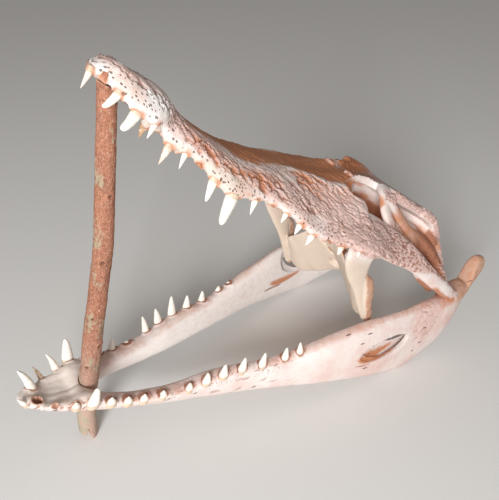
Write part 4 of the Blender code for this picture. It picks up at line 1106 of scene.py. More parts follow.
def cranium_relief(place, normal, dip, bone):
    """Moves the cranium's points and gives the marks that colour it."""
    m = cranium_zones(place, normal)
    x, y, z, away = m["x"], m["y"], m["z"], m["away"]
    flat = chart(place)
    ridge = masked(m["wrinkle"], wrinkles, flat)
    cheek_pit = masked(m["cheek"], pits, flat, 3.6, 21, 1.6, 0.85) * rise(x, 250, 320)
    table_pit = masked(m["table"], pits, flat, 3.4, 25)
    net = 1 - (1 - masked(m["cheek"], wrinkles, flat, 0.2, 5.5)) * rise(x, 335, 300)
    rough = np.clip(m["snout"] + m["cheek"] + m["table"], 0, 1)
    height = m["wrinkle"] * bone.wrinkle * (ridge - 0.7)
    height += m["cheek"] * bone.pit * (0.8 * (net - 0.8) - 0.8 * cheek_pit)
    height -= m["table"] * bone.pit * table_pit
    height += 1.0 * (cloud(place / 14.0, 3, 41) - 0.5) * (0.5 + 0.5 * rough)
    height += 0.35 * (cloud(place / 2.6, 2, 45) - 0.5) * rough
    moved = place + normal * height[:, None]

    # Dark brown in crevices, pits and sockets: dirt there, with painted shade
    hollow = most(0.8 * m["wrinkle"] * rise(ridge, 0.55, 0.15) * (1 - 0.35 * rise(x, 215, 245)),
                  m["cheek"] * most(0.95 * cheek_pit, 0.6 * rise(net, 0.5, 0.1)),
                  0.5 * m["table"] * table_pit)
    m["socket"] = np.zeros(len(place))
    for side in (-1, 1):
        depth, rim, stain = sockets(place, UPPER_TEETH, UPPER_LOST[side], side, -1)
        moved[:, 2] += (depth + rim) * rise(m["up"], 0.3, -0.3)
        m["socket"] = most(m["socket"], stain * rise(m["up"], 0.9, 0.3))
        hollow = most(hollow, rise(m["up"], 0.7, 0.2) * rise(np.abs(depth), 0.5, 1.6))

    spread = cloud(place / 22.0, 3, 51)
    streaks = cloud(place / (16.0, 3.0, 3.0), 2, 53)
    bar_x, bar_y, bar_z = np.transpose(TEMPORAL_BAR)[:3]
    horn_x, _, horn_z = np.transpose(SQUAMOSAL_HORN)[:3]
    edge = m["past_crest"] + 9 * (ridge - 0.5) * m["wrinkle"] + 9 * (spread - 0.5)
    edge += 8 * (streaks - 0.5)
    m.update(dip=dip, spread=spread, ridge=ridge, inside=1 - m["outside"], over_stain_edge=edge,
             blotched_x=x + 50 * (spread - 0.5), blotched_y=y + 20 * (spread - 0.5),
             blotched_away=away + 8 * (spread - 0.5),
             over_horn=z - np.interp(x, horn_x, horn_z),
             off_bar_y=np.abs(away - np.interp(x, bar_x, bar_y)),
             off_bar_z=np.abs(z - np.interp(x, bar_x, bar_z)),
             past_wing_end=x - np.interp(z, *WING_END))
    rag = patch(m, **WING_RAG)
    moved += normal * (rag * 1.4 * (cloud(place / 3.0, 2, 57) - 0.5))[:, None]
    # Brown top of the snout: stain, with painted shade, as the top faces away from the key light
    top = patch(m, valley=None, over_stain_edge=(5, -6)) * (0.75 + 0.25 * rise(spread, 0.2, 0.45))
    flank = patch(m, wrinkle=None, over_stain_edge=(34, 6), x=(60, 100))
    flank *= (1 - 0.4 * rise(x, 205, 235)) * (0.42 + 0.58 * rise(ridge, 1.0, 0.45))
    bleach = sum(share * patch(m, **spans) for share, spans in CRANIUM_BLEACH)
    # Where small foramina are painted dark, as painted shade inside the holes
    bore = most(patch(m, skin=None, outside=None, x=(262, 235)) * (1 - m["wrinkle"]),
                patch(m, skin=None, x=(66, 58))) * rise(m["up"], 0.85, 0.6)
    return moved, {
        "place": place, "chart": flow(flat, 0.7), "slit": 0 * x, "bore": bore,
        "rough": most(m["wrinkle"], m["cheek"], m["table"], 0.35 * m["snout"], rag),
        # hollow and stain: dirt and real stains, together with painted shade
        "hollow": most(hollow, strongest(m, CRANIUM_SHADES)),
        "stain": np.clip(most(top, flank, strongest(m, CRANIUM_STAINS_AND_SHADE)), 0, 1),
        "bleach": np.clip(bleach * (1 - rise(dip, 0.2, 0.8)), 0, 1),
        "cream": most(patch(m, z=(-8, -18), x=(262, 280, 370, 380)),
                      0.6 * patch(m, z=(8, 2), away=(50, 40)))}


def flow(flat, lean):
    """The chart sheared so that its first axis runs across the wrinkles."""
    return np.stack([flat[:, 1] - lean * flat[:, 0], flat[:, 0], flat[:, 2]], axis=1)


def cranium_parts(centre):
    """For each named bone, which of the skin's faces are its, from the faces' centres."""
    x, y, z = centre.T
    end, reach, top = PTERYGOID_ZONE
    front, rear, rear_x = ARCH_CUT
    cut = front + (rear - front) / (rear_x - ROSTRUM_END) * (x - ROSTRUM_END)
    snout = x < PREMAXILLA_END
    rostrum = ~snout & (x < ROSTRUM_END)
    back = ~snout & ~rostrum
    wings = back & (x < end) & (np.abs(y) < reach) & (z < top)
    arch = back & ~wings & (np.abs(y) > cut)
    return {"premaxilla": snout, "maxilla": rostrum,
            "pterygoid_left": wings & (y < 0), "pterygoid_right": wings & (y >= 0),
            "cheek_arch_left": arch & (y < 0), "cheek_arch_right": arch & (y >= 0),
            "braincase": back & ~wings & ~arch}


def cranium_pose(pose):
    """Where the cranium is set: rolled, turned and tipped about the jaw joint."""
    turn = (Matrix.Rotation(pose.gape, 4, "Y") @ Matrix.Rotation(pose.yaw, 4, "Z")
            @ Matrix.Rotation(pose.roll, 4, "X"))
    return (Matrix.Translation(HINGE_IN_WORLD) @ turn
            @ Matrix.Translation(-Vector(HINGE_IN_CRANIUM)))


def jaw_pose(pose):
    """Where the lower jaw is set: lying on its rear corners, front end raised."""
    pivot = Vector(JAW_PIVOT)
    return (Matrix.Translation((pivot.x, 0, 0)) @ Matrix.Rotation(pose.jaw_tilt, 4, "Y")
            @ Matrix.Translation(-pivot))


# ------------------------------------------------------------------ lower jaw

def jaw_body():
    """One half of the lower jaw: squared rings that bulge out and lean as they go."""
    xs = np.r_[np.linspace(JAW[0][0], 88, 90), np.linspace(90, JAW[-1][0], 260)]
    foot_in, foot_out, top_in, top_out, low, high = columns(JAW, xs)
    power = np.interp(xs, *np.transpose(JAW_POWER))[:, None]
    u, v = (bent(wave, 2 / power) for wave in circle(72))
    up = (v + 1) / 2
    inner = foot_in + (top_in - foot_in) * up
    outer = foot_out + (top_out - foot_out) * up
    y = inner + (outer - inner) * (u + 1) / 2
    x = xs[:, None] + 0 * y
    basin_x, length, width, depth = BASIN
    hollow = depth * np.exp(-((x - basin_x) / length) ** 4 - (y / width) ** 4)
    return along_x(xs, y, low + (high - low) * up - hollow * np.clip(v, 0, 1))


def rod(x, z, half_length, half_height, turn, start, end, sides):
    """A bar of elliptic section across the jaw, between two distances from the midline."""
    ends = ((x, start, z, half_length, half_height), (x, end, z, half_length, half_height))
    return strut(ends, lambda part: (math.cos(turn), 0, math.sin(turn)), sides, 2, 2.0)


def jaw_skin(bone):
    """One half of the lower jaw at +Y as a skin, with its openings, in the jaw's frame."""
    x, z, half_length, half_height, tilt = FENESTRA
    window = rod(x, z, half_length, half_height, math.radians(tilt), 130, 86, 40)
    x, z = GLENOID
    socket = rod(x, z, GLENOID_RADIUS, GLENOID_RADIUS, 0, 50, 110, 32)
    body = minus(jaw_body(), blob(ADDUCTOR), blob(ADDUCTOR_MOUTH), window, socket)
    return fused([body], bone.voxel, bone.softening)


def in_fenestra(place):
    """How far out from the jaw's window a point lies: under 1 it is inside."""
    x, z, half_length, half_height, tilt = FENESTRA
    tilt = math.radians(tilt)
    along = (place[:, 0] - x) * math.cos(tilt) + (place[:, 2] - z) * math.sin(tilt)
    up = (place[:, 2] - z) * math.cos(tilt) - (place[:, 0] - x) * math.sin(tilt)
    return np.hypot(along / half_length, up / half_height)


# Slot in the inner side of the jaw: centre x and z, half length and half height
SLOT = (316.5, 19.5, 15.5, 1.7)
SLOT_DEPTH = 2.2
# Strength of each stain and bleached patch of the jaw, and its patch; the stain deep in hollows is
# partly painted shade
JAW_STAINS_AND_SHADE = (
    (0.60, {"socket": (0.25, 1.0), "upper": None}),
    (0.40, {"below_top": (7, 1), "x": (60, 90), "spread": (0.3, 0.6)}),
    # Stain gathered deep in hollows, with painted shade there
    (0.80, {"dip": (0.35, 2.0)}),
    (0.90, {"window": (1.25, 1.0), "away": (92, 88), "z": (34, 27)}),
    (0.62, {"x": (440, 470), "z": (60, 86)}),
    (0.60, {"x": (404, 418), "z": (62, 72)}),
)
JAW_BLEACH = (
    (0.8, {"out": (0.1, -0.4), "x": (70, 110)}),
    (0.5, {"spread": (0.5, 0.75), "x": (320, 250)}),
)


def jaw_relief(place, normal, dip, side):
    """Moves the points of one half of the jaw and gives the marks that colour it."""
    x, y, z = place.T
    out = normal[:, 1] * side
    up = normal[:, 2]
    flat = chart(place)
    lost = [name for name, own in LOWER_OWN[side].items() if not own[0]]
    depth, rim, socket = sockets(place, LOWER_TEETH, lost, side, 1)
    top = np.interp(x, *np.transpose(JAW)[[0, 6]])
    slot_x, slot_z, half_length, half_height = SLOT
    m = {"x": x, "z": z, "away": np.abs(y), "out": out, "up": up, "dip": dip, "socket": socket,
         "below_top": top - z, "window": in_fenestra(place), "spread": cloud(place / 24.0, 3, 81),
         "upper": rise(up, 0.2, 0.6), "lateral": rise(out, 0.1, 0.5)}
    m["outer"] = patch(m, window=(1.0, 1.2), lateral=None)
    behind = patch(m, outer=None, x=(362, 384, 402, 424), z=(22, 44))
    worms = masked(behind, wrinkles, flat, -0.6, 5.0)
    dimple = patch(m, outer=None, x=(60, 90, 200, 290))
    dent = masked(dimple, pits, flat, 5.0, 64, 3.5, 0.45)
    chin = patch(m, x=(62, 50), lateral=None)
    chin_pit = masked(chin, pits, flat, 5.0, 67, 1.2, 0.8)
    height = 1.1 * (cloud(place / 26.0 * (0.6, 1, 1), 3, 71) - 0.5)
    height -= 0.8 * behind * (1 - worms) + 0.4 * dimple * dent + 0.5 * chin * chin_pit
    basin = patch(m, x=(66, 54), up=(0.3, 0.7))
    height += 1.6 * basin * (noise(place / (13.0, 4.5, 60.0), 77) - 0.5)
    height += 0.20 * (cloud(place / 3.5, 2, 75) - 0.5)
    moved = place + normal * height[:, None]
    moved[:, 2] += (depth + rim) * m["upper"]
    slot = np.hypot((x - slot_x) / half_length, (z - slot_z) / half_height)
    slot += 0.4 * rise(out, -0.3, 0.1)
    moved -= normal * (SLOT_DEPTH * rise(slot, 1.1, 0.6))[:, None]
    # Dark brown in wrinkles, dents, pits, sockets and the slot: dirt there, with painted shade
    hollow = most(0.55 * behind * rise(worms, 0.4, 0.1), 0.5 * dimple * dent,
                  0.7 * chin * chin_pit, m["upper"] * rise(np.abs(depth), 0.8, 2.4),
                  0.8 * patch(m, upper=None, socket=(0.8, 0.97), x=(40, 60)), rise(slot, 1.1, 0.8))
    rough = most(0.5 * behind, 0.35 * patch(m, lateral=None, x=(250, 330)))
    rough += 0.35 * patch(m, upper=None, below_top=(8, 3), x=(60, 80))
    # Where small foramina are painted dark, as painted shade inside the holes
    bore = patch(m, lateral=None, x=(260, 200), below_top=(14, 9), spread=(0.35, 0.6))
    return moved, {
        "place": place, "chart": flow(flat, 0.0), "slit": m["lateral"], "bore": 0.5 * bore,
        # hollow and stain: dirt and real stains, together with painted shade
        "rough": np.clip(rough, 0, 1), "hollow": hollow,
        "stain": np.clip(strongest(m, JAW_STAINS_AND_SHADE), 0, 1),
        "bleach": np.clip(strongest(m, JAW_BLEACH), 0, 1),
        "cream": 0.4 * patch(m, x=(66, 54), up=(0.1, 0.6)) + 0.7 * rise(x, 430, 456)}


def halved(moved, quads, side):
    """The faces on one side of the midline, their cut edge drawn onto the gap's plane."""
    keep = quads[side * moved[quads, 1].mean(axis=1) > MIDLINE_GAP]
    edges = np.sort(keep[:, [0, 1, 1, 2, 2, 3, 3, 0]].reshape(-1, 2), axis=1)
    pairs, uses = np.unique(edges, axis=0, return_counts=True)
    moved[np.unique(pairs[uses == 1]), 1] = side * MIDLINE_GAP
    return keep


def settled(points):
    """Points in metres pushed sideways until clear of the branch, and up onto the floor."""
    points = points / MM - FRAME_SHIFT
    x, y, radius = branch_line(points[:, 2])
    offset = points[:, :2] - np.stack([x, y], axis=1)
    far = np.maximum(np.linalg.norm(offset, axis=1), 1e-6)
    push = np.maximum(radius + PROP_GAP - far, 0) * (points[:, 2] > 0)
    points[:, :2] += offset * (push / far)[:, None]
    points[:, 2] = np.maximum(points[:, 2], 0.0)
    return (points + FRAME_SHIFT) * MM


# ------------------------------------------------------------------ teeth

def tooth(row, side, up, rings=26, around=24):
    """A slightly curved and worn cone, from its root inside the socket to its tip.

    It tapers evenly to its bluntness, the tip's share of the full radius, and its end is
    rounded and worn off at a slant. Returns its rings of points, how far along the crown
    each point is in mm and how brown it is.
    """
    x, y, z, length, radius, lean, blunt = row
    part = np.linspace(0, 1, rings)
    station = (length + TOOTH_ROOT) * (1 - (1 - part) ** 1.5) - TOOTH_ROOT
    share = np.clip(station / length, 0, 1)
    centre = np.stack([x + lean * station * (0.6 + 0.4 * share),
                       side * (y + TOOTH_SPLAY * station * (1 - 0.7 * share)),
                       z + up * station], axis=1)
    girth = 1 - (1 - blunt) * share ** 1.25
    girth *= np.maximum(1 - share ** 14, 0.0) ** 0.5
    girth = radius * np.maximum(girth, 0.03)
    angle = np.linspace(0, 2 * np.pi, around, endpoint=False)
    ring = np.stack([np.cos(angle), TOOTH_OVAL * np.sin(angle), 0 * angle], axis=1)
    keel = 1 + 0.035 * np.cos(2 * angle)[:, None]
    slant = 0.7 * girth[:, None] * share[:, None] ** 8 * np.cos(angle - 7.0 * x)
    centre = centre[:, None] - np.stack([0 * slant, 0 * slant, up * slant], axis=2)
    away = (ring * keel)[None] * girth[:, None, None]
    uneven = 1 + 0.12 * (cloud((centre + away).reshape(-1, 3) / 2.2, 2, 91) - 0.5)
    points = centre + away * uneven.reshape(rings, around, 1)
    return points, np.repeat(station, around), np.full(rings * around, BROWN.get((side, x), 0.0))


def tooth_group(name, rows, up, matrix, finish):
    """The teeth of some pairs of a row and a side as one piece."""
    shapes, along, brown = zip(*(tooth(row, side, up) for row, side in rows))
    mesh = joined([ring_mesh(placed(points, matrix)) for points in shapes])
    keep_marks(mesh, {"along": np.concatenate(along), "brown": np.concatenate(brown),
                      "place": np.concatenate(shapes).reshape(-1, 3)})
    mesh.shade_smooth()
    return piece(name, mesh, finish, "tooth")


def upper_rows(first, last):
    """Rows and sides of the upper teeth present between two stations."""
    rows = []
    for side, (name, row) in itertools.product((-1, 1), UPPER_TEETH.items()):
        if name not in UPPER_LOST[side] and first < row[0] < last:
            length, lean = UPPER_OWN.get(side, {}).get(name, (row[3], row[5]))
            rows.append(((*row[:3], length, row[4], lean, row[6]), side))
    return rows


def lower_rows(side):
    """Rows and sides of the lower teeth present on one side."""
    rows = []
    for name, row in LOWER_TEETH.items():
        length, lean = LOWER_OWN[side].get(name, (row[3], row[5]))
        if length:
            rows.append(((*row[:3], length, row[4], lean, row[6]), side))
    return rows + [(SHARD, side)] * (side < 0)


# ------------------------------------------------------------------ branch

# Knots: height, angle round the branch, size and how far they swell
KNOTS = ((205, -1.9, 4.0, 1.6), (150, -2.2, 3.2, 1.3), (118, -1.2, 4.6, 2.2),
         (96, -2.3, 3.8, 1.6), (262, -1.4, 3.4, 1.4))


def branch_line(at):
    """Place of the branch's axis and its radius at some heights."""
    rows = np.asarray(BRANCH)
    x, y, _, radius = smooth(rows[:, 2], rows, at).T
    return x, y, radius


def slab(low, high):
    """Box between its low and high corners."""
    (x, y, bottom), (far_x, far_y, top) = low, high
    ring = np.array([(x, y), (far_x, y), (far_x, far_y), (x, far_y)])
    return ring_mesh(np.array([np.c_[ring, np.full(4, z)] for z in (bottom, top)]))


def branch_skin(pose, branch):
    """The branch as a skin of small squares: round, slightly bent, split at the foot."""
    zs = np.linspace(BRANCH[0][2], BRANCH[-1][2], 150)
    x, y, radius = (column[:, None] for column in branch_line(zs))
    angle = np.linspace(0, 2 * np.pi, 48, endpoint=False)[None]
    knots = 1 + 0.04 * np.sin(3 * angle + zs[:, None] / 17) * np.cos(zs[:, None] / 23)
    radius = radius * knots
    body = ring_mesh(np.stack([x + radius * np.cos(angle), y + radius * np.sin(angle),
                               zs[:, None] + 0 * angle], axis=2))
    width, height = BRANCH_SPLIT
    x, y = BRANCH[0][0] - 1.0, BRANCH[0][1]
    outline = ((x + width, -20), (x, height), (x - width / 2, BRANCH_CHIP),
               (x - 30, BRANCH_CHIP + 2), (x - 30, -20))
    split = ring_mesh(np.array([[(px, y + side, pz) for px, pz in outline]
                                for side in (-30, 30)], float))
    above = slab((-200, -200, BRANCH_TOP), (400, 200, BRANCH_TOP + 300))
    above.transform(cranium_pose(pose))
    body = minus(body, split, above, slab((-100, -100, -50), (200, 100, 0)))
    return fused([body], branch.voxel, 2)


def branch_relief(place, normal):
    """Moves the branch's points into cracked bark and gives the marks that colour it."""
    x, y, radius = branch_line(place[:, 2])
    out = np.stack([place[:, 0] - x, place[:, 1] - y], axis=1)
    far = np.linalg.norm(out, axis=1)
    angle = np.arctan2(out[:, 1], out[:, 0])
    side = rise(np.abs(normal[:, 2]), 0.75, 0.45) * rise(far / radius, 0.72, 0.9)
    q = np.stack([out[:, 0] / 2.4, out[:, 1] / 2.4, place[:, 2] / 11.0], axis=1)
    q += 0.5 * noise(place / 6.0, 101)[:, None]
    crack = (1 - np.abs(2 * noise(q, 102) - 1)) * rise(noise(place / 15.0, 103), 0.45, 0.7)
    plates = cloud(place / (5.0, 5.0, 7.0), 3, 105)
    swell = np.zeros(len(place))
    eye = np.zeros(len(place))
    for at, turn, size, up in KNOTS:
        around = (angle - turn + np.pi) % (2 * np.pi) - np.pi
        gap = np.hypot(around * radius, place[:, 2] - at) / size
        swell += up * np.exp(-gap ** 2)
        eye = np.maximum(eye, rise(gap, 0.62, 0.3))
    height = side * (0.7 * (plates - 0.5) - 0.4 * rise(crack, 0.8, 1.0))
    height += side * (swell - 1.6 * eye)
    moved = place + normal * height[:, None]
    moved[:, 2] = np.maximum(moved[:, 2], 0.0)
    marks = {"place": place, "crack": side * np.maximum(0.5 * rise(crack, 0.8, 1.0), eye),
             "bare": 1 - side}
    return moved, marks


# ------------------------------------------------------------------ shaders

class Wire:
    """A shader's value; arithmetic on wires adds the nodes that compute it."""

    def __init__(self, finish, socket):
        self.finish = finish
        self.socket = socket

    def maths(self, operation, a, b=0.0):
        return self.finish.node("ShaderNodeMath", {"operation": operation}, {0: a, 1: b})

    def __add__(self, other):
        return self.maths("ADD", self, other)

    __radd__ = __add__

    def __sub__(self, other):
        return self.maths("SUBTRACT", self, other)

    def __rsub__(self, other):
        return self.maths("SUBTRACT", other, self)

    def __mul__(self, other):
        return self.maths("MULTIPLY", self, other)

    __rmul__ = __mul__

    def __truediv__(self, other):
        return self.maths("DIVIDE", self, other)

    def __abs__(self):
        return self.maths("ABSOLUTE", self)

    def most(self, other):
        return self.maths("MAXIMUM", self, other)

    def rise(self, low, high):
        """0 below low, 1 above high and an S curve between."""
        return self.finish.node("ShaderNodeMapRange", {"interpolation_type": "SMOOTHSTEP"},
                                {"Value": self, "From Min": low, "From Max": high})

    def times(self, scale):
        """A place stretched by a number for each axis."""
        return self.finish.node("ShaderNodeVectorMath", {"operation": "MULTIPLY"},
                                {0: self, 1: scale})


class Finish:
    """A material whose nodes are made by one method."""

    def __init__(self, name):
        self.material = bpy.data.materials.new(name)
        self.material.use_nodes = True
        self.tree = self.material.node_tree
        self.shader = self.tree.nodes["Principled BSDF"]

    def node(self, kind, settings=None, inputs=None, output=0):
        """A node with its settings made first, then its sockets' values and links."""
        made = self.tree.nodes.new(kind)
        for key, value in (settings or {}).items():
            setattr(made, key, value)
        for key, value in (inputs or {}).items():
            if isinstance(value, Wire):
                self.tree.links.new(value.socket, made.inputs[key])
            else:
                made.inputs[key].default_value = value
        return Wire(self, made.outputs[output])

    def mark(self, name):
        """A number kept on the mesh's points."""
        return self.node("ShaderNodeAttribute", {"attribute_name": name}, output="Fac")

    def place(self, name="place"):
        """The point's place in its own bone's frame, or another chart of it, in mm."""
        return self.node("ShaderNodeAttribute", {"attribute_name": name}, output="Vector")

    def noise(self, place, size, detail=2.0, stretch=(1, 1, 1), roughness=0.5):
        """Cloudy noise around 0.5 whose features are of this size in mm."""
        scale = tuple(1.0 / (size * s) for s in stretch)
        return self.node("ShaderNodeTexNoise", {},
                         {"Vector": place.times(scale), "Scale": 1.0, "Detail": detail,
                          "Roughness": roughness})

    def dots(self, flat, size, radius, share, stretch=1.0):
        """Small round spots over the chart: 1 at their middles; share of the cells have one."""
        scale = (1.0 / size, 1.0 / (size * stretch), 1.0)
        cell = self.node("ShaderNodeTexVoronoi", {"voronoi_dimensions": "2D"},
                         {"Vector": flat.times(scale), "Scale": 1.0}).socket.node
        apart = self.node("ShaderNodeSeparateColor", {},
                          {"Color": Wire(self, cell.outputs["Color"])}).socket.node
        far = Wire(self, cell.outputs["Distance"])
        reach = Wire(self, apart.outputs[1]) * (0.6 * radius / size) + 0.6 * radius / size
        spot = (far / reach).rise(1.2, 0.7)
        return spot * Wire(self, apart.outputs[0]).rise(share, share - 0.02)

    def crests(self, flat, size, stretch):
        """Fine ridges along the wrinkles: 0 in the crevices and 1 on the tops."""
        wave = self.noise(flat, size, 1.0, stretch=(1, stretch, 1))
        return abs(wave * 2.0 - 1.0).rise(0.0, 0.22)

    def mix(self, share, a, b):
        """A blend of two colours."""
        inputs = {0: share, 6: self.colour(a), 7: self.colour(b)}
        return self.node("ShaderNodeMix", {"data_type": "RGBA"}, inputs, 2)

    @staticmethod
    def colour(value):
        return value if isinstance(value, Wire) else (*tuple(value)[:3], 1.0)

    def done(self, colour, roughness, height, **settings):
        """Sets the surface; height is in mm."""
        links = self.tree.links
        links.new(colour.socket, self.shader.inputs["Base Color"])
        links.new(roughness.socket, self.shader.inputs["Roughness"])
        bump = self.node("ShaderNodeBump", {},
                         {"Strength": 1.0, "Distance": MM, "Height": height})
        links.new(bump.socket, self.shader.inputs["Normal"])
        for key, value in settings.items():
            self.shader.inputs[key.replace("_", " ")].default_value = value
        return self.material


def bone_finish(bone):
    """Weathered bone: pale and rosy patches, stains and dirt, painted shade in hollows and small
    foramina.
    """
    f = Finish("weathered bone")
    place = f.place()
    hollow, stain, bleach = f.mark("hollow"), f.mark("stain"), f.mark("bleach")
    bore, rough = f.mark("bore"), f.mark("rough")
    broad = f.noise(place, 34.0, 2.0)
    mottle = f.noise(place, 6.5, 3.0)
    fibre = f.noise(place, 1.7, 3.0, stretch=(11, 1, 1))
    grain = f.noise(place, 0.9, 2.0)
    flat = f.place("chart")
    dots = f.dots(flat, 3.5, 0.78, 0.7) * bore
    slits = f.dots(flat, 9.0, 0.8, 0.2, 3.0) * f.mark("slit")
    crest = f.crests(flat, 2.0, 3.0)
    rosy = (broad * 0.8 + mottle * 0.2 + rough * 0.30).rise(0.42, 0.78)
    colour = f.mix(rosy, bone.pale, bone.rosy)
    colour = f.mix(bleach * mottle.rise(0.2, 0.5), colour, bone.white)
    colour = f.mix(f.mark("cream"), colour, bone.cream)
    colour = f.mix(fibre.rise(0.52, 0.72) * (1.0 - rough) * 0.3, colour, bone.rosy)
    # Amber from the stain mark: real stains and painted shade
    patches = (stain + mottle * 0.5 - 0.28).rise(0.0, 1.0)
    colour = f.mix(patches * 0.95, colour, bone.amber_stain_and_shade)
    # Crevice colour: dirt in hollows and fine grooves, with painted shade
    crevices = (hollow * 1.1 + mottle * 0.2 - 0.12).rise(0.05, 0.85) * 0.85
    crevices = crevices.most((1.0 - crest) * rough * 0.3)
    colour = f.mix(crevices, colour, bone.crevice)
    # Foramina and slits are painted dark for the shade inside these small holes
    holes = dots.most(slits)
    colour = f.mix(holes * 0.8, colour, tuple(0.3 * c for c in bone.crevice))
    height = grain * 0.10 + fibre * 0.16 * (1.0 - rough) + mottle * 0.3 - holes * 0.8
    height = height + crest * rough * 0.30
    roughness = 0.62 - bleach * 0.10 + mottle * 0.12
    return f.done(colour, roughness, height, Specular_IOR_Level=0.35)


def tooth_finish(tooth):
    """Enamel: brown at the neck, cream crown with fine cracks along it."""
    f = Finish("worn teeth")
    place, along = f.place(), f.mark("along")
    mottle = f.noise(place, 3.0, 3.0)
    lines = f.noise(place, 0.7, 3.0, stretch=(1, 1, 9))
    neck = (along + mottle * 2.4).rise(2.6, 0.8) * 0.6
    colour = f.mix(mottle.rise(0.35, 0.75) * 0.35, tooth.enamel, tooth.cloudy)
    colour = f.mix(lines.rise(0.60, 0.74) * 0.4, colour, tooth.cracks)
    colour = f.mix(neck, colour, tooth.neck)
    colour = f.mix(f.mark("brown") * mottle.rise(0.25, 0.55) * 0.85, colour, tooth.neck)
    height = lines * 0.12 + mottle * 0.15
    return f.done(colour, neck * 0.3 + 0.33, height, Specular_IOR_Level=0.5)


def bark_finish(branch):
    """Bark: red-brown plates, darker cracks, grey-green lichen and bare broken ends."""
    f = Finish("cracked bark")
    place, crack, bare = f.place(), f.mark("crack"), f.mark("bare")
    broad = f.noise(place, 16.0, 3.0, stretch=(1, 1, 1.6))
    mottle = f.noise(place, 2.6, 4.0, stretch=(1, 1, 1.3))
    grain = f.noise(place, 0.8, 3.0, stretch=(1, 1, 2))
    low = f.node("ShaderNodeSeparateXYZ", {}, {"Vector": place}, 2).rise(150.0, 20.0)
    dark, light = (tuple(k * c for c in branch.bark) for k in (0.45, 1.45))
    colour = f.mix(mottle.rise(0.3, 0.7), branch.bark, light)
    colour = f.mix(grain.rise(0.56, 0.70) * 0.7, colour, branch.specks)
    colour = f.mix(grain.rise(0.42, 0.30) * 0.8, colour, dark)
    colour = f.mix(low * 0.6, colour, branch.worn)
    patch = (broad * 0.65 + mottle * 0.35 + low * 0.04).rise(0.54, 0.63)
    colour = f.mix(patch * (0.85 - grain * 0.4), colour, branch.lichen)
    colour = f.mix(crack * 0.85, colour, dark)
    wood = f.mix(grain, branch.wood, tuple(0.5 * c for c in branch.wood))
    colour = f.mix(bare, colour, wood)
    height = mottle * 0.8 + grain * 0.35
    return f.done(colour, 0.95 - mottle * 0.15, height, Specular_IOR_Level=0.25)


def plain_finish(name, colour, roughness):
    """One even colour."""
    finish = Finish(name)
    values = {"Base Color": (*colour, 1), "Roughness": roughness, "Specular IOR Level": 0.2}
    for key, value in values.items():
        finish.shader.inputs[key].default_value = value
    return finish.material


def shared(name, maker, settings):
    """The material of this name, made the first time it is asked for."""
    return bpy.data.materials.get(name) or maker(settings)


# ------------------------------------------------------------------ operators

class SKULL_OT_cranium(bpy.types.Operator):
    """Makes the cranium as its named bones"""
    bl_idname = "skull.cranium"
    bl_label = "Make Cranium"
    bl_options = {"REGISTER", "UNDO"}

    def execute(self, context):
        bone = context.scene.skull_bone
        matrix = cranium_pose(context.scene.skull_pose)
        skin = cranium_skin(bone)
        place, normal, quads = arrays(skin)
        moved, marks = cranium_relief(place, normal, dips(skin, place, normal), bone)
        points = placed(moved, matrix)
        finish = shared("weathered bone", bone_finish, bone)
        for name, mine in cranium_parts(place[quads].mean(axis=1)).items():
            skin_piece(name + "_bone", points, marks, quads[mine], finish, name)
        return {"FINISHED"}


class SKULL_OT_jaws(bpy.types.Operator):
    """Makes both halves of the lower jaw"""
    bl_idname = "skull.jaws"
    bl_label = "Make Lower Jaw"
    bl_options = {"REGISTER", "UNDO"}

    def execute(self, context):
        bone = context.scene.skull_bone
        matrix = jaw_pose(context.scene.skull_pose)
        skin = jaw_skin(bone)
        right, right_normal, right_quads = arrays(skin)
        dip = dips(skin, right, right_normal)
        finish = shared("weathered bone", bone_finish, bone)
        for side, name in ((-1, "lower_jaw_left"), (1, "lower_jaw_right")):
            flip = np.array((1, side, 1))
            moved, marks = jaw_relief(right * flip, right_normal * flip, dip, side)
            keep = halved(moved, right_quads[:, ::side], side)
            points = settled(placed(moved, matrix))
            skin_piece(name + "_bone", points, marks, keep, finish, name)
        return {"FINISHED"}


class SKULL_OT_teeth(bpy.types.Operator):
    """Makes the teeth, one piece for each bone that holds them"""
    bl_idname = "skull.teeth"
    bl_label = "Make Teeth"
    bl_options = {"REGISTER", "UNDO"}

    def execute(self, context):
        pose = context.scene.skull_pose
        finish = shared("worn teeth", tooth_finish, context.scene.skull_tooth)
        upper, lower = cranium_pose(pose), jaw_pose(pose)
        front = upper_rows(0, PREMAXILLA_END)
        rear = upper_rows(PREMAXILLA_END, ROSTRUM_END)
        tooth_group("premaxilla_teeth", front, -1, upper, finish)
        tooth_group("maxilla_teeth", rear, -1, upper, finish)
        tooth_group("lower_left_teeth", lower_rows(-1), 1, lower, finish)
        tooth_group("lower_right_teeth", lower_rows(1), 1, lower, finish)
        return {"FINISHED"}


class SKULL_OT_branch(bpy.types.Operator):
    """Makes the branch that props the jaws"""
    bl_idname = "skull.branch"
    bl_label = "Make Branch"
    bl_options = {"REGISTER", "UNDO"}

    def execute(self, context):
        branch = context.scene.skull_branch
        skin = branch_skin(context.scene.skull_pose, branch)
        place, normal, quads = arrays(skin)
        moved, marks = branch_relief(place, normal)
        finish = shared("cracked bark", bark_finish, branch)
        points = placed(moved, Matrix.Identity(4))
        thing = skin_piece("branch", points, marks, quads, finish, "prop_branch")
        return {"FINISHED"}


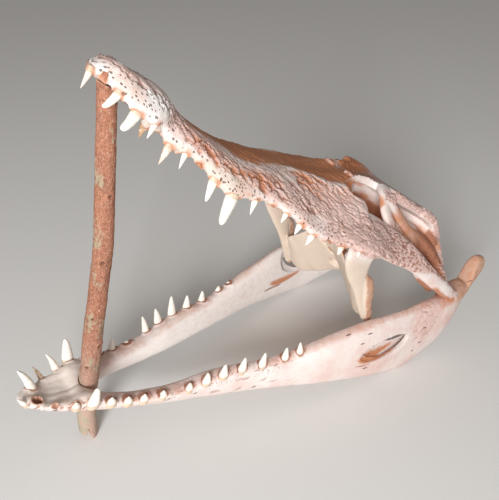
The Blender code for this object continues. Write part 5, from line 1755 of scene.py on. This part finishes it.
class SKULL_OT_stage(bpy.types.Operator):
    """Makes the floor, the lights and the camera"""
    bl_idname = "skull.stage"
    bl_label = "Make Stage"
    bl_options = {"REGISTER", "UNDO"}

    def execute(self, context):
        scene = context.scene
        stage = scene.skull_stage
        far = stage.floor_reach
        mesh = bpy.data.meshes.new("floor")
        mesh.from_pydata([(-far, -far, 0), (far, -far, 0), (far, far, 0), (-far, far, 0)], [],
                         [(0, 1, 2, 3)])
        mesh.materials.append(plain_finish("floor", stage.floor_colour, 0.9))
        floor = bpy.data.objects.new("floor", mesh)
        lamp = bpy.data.lights.new("key", "AREA")
        lamp.energy = stage.key
        lamp.shape = "DISK"
        lamp.size = stage.key_width
        key = bpy.data.objects.new("key", lamp)
        key.location = stage.key_at
        aim = Vector(stage.key_aim) - key.location
        key.rotation_euler = aim.to_track_quat("-Z", "Y").to_euler()
        camera_data = bpy.data.cameras.new("camera")
        camera_data.sensor_fit = "HORIZONTAL"
        camera_data.sensor_width = 36.0
        camera_data.lens = stage.lens
        camera = bpy.data.objects.new("camera", camera_data)
        camera.location = stage.camera_at
        camera.rotation_euler = stage.camera_turn
        for thing in (floor, key, camera):
            scene.collection.objects.link(thing)
        scene.camera = camera
        world = bpy.data.worlds.new("room")
        world.use_nodes = True
        background = world.node_tree.nodes["Background"]
        background.inputs["Color"].default_value = (*stage.sky_colour, 1)
        background.inputs["Strength"].default_value = stage.sky
        scene.world = world
        scene.view_settings.view_transform = "Standard"
        return {"FINISHED"}


class SKULL_PT_panel(bpy.types.Panel):
    """Settings and buttons of the skull"""
    bl_label = "Crocodile Skull"
    bl_space_type = "VIEW_3D"
    bl_region_type = "UI"
    bl_category = "Skull"

    def draw(self, context):
        scene = context.scene
        for label, group, operators in (
                ("Pose", scene.skull_pose, ()),
                ("Bone", scene.skull_bone, (SKULL_OT_cranium, SKULL_OT_jaws)),
                ("Teeth", scene.skull_tooth, (SKULL_OT_teeth,)),
                ("Branch", scene.skull_branch, (SKULL_OT_branch,)),
                ("Stage", scene.skull_stage, (SKULL_OT_stage,))):
            box = self.layout.box()
            box.label(text=label)
            for key in group.__annotations__:
                box.prop(group, key)
            for operator in operators:
                box.operator(operator.bl_idname)


GROUPS = (("skull_pose", SkullPose), ("skull_bone", SkullBone), ("skull_tooth", SkullTooth),
          ("skull_branch", SkullBranch), ("skull_stage", SkullStage))
CLASSES = tuple(group for _, group in GROUPS) + (
    SKULL_OT_cranium, SKULL_OT_jaws, SKULL_OT_teeth, SKULL_OT_branch, SKULL_OT_stage,
    SKULL_PT_panel)


def register():
    for kind in CLASSES:
        bpy.utils.register_class(kind)
    for name, group in GROUPS:
        setattr(bpy.types.Scene, name, PointerProperty(type=group))


def unregister():
    for name, _ in GROUPS:
        delattr(bpy.types.Scene, name)
    for kind in reversed(CLASSES):
        bpy.utils.unregister_class(kind)


def main():
    register()
    bpy.ops.skull.cranium()
    bpy.ops.skull.jaws()
    bpy.ops.skull.teeth()
    bpy.ops.skull.branch()
    bpy.ops.skull.stage()


if __name__ == "__main__":
    main()
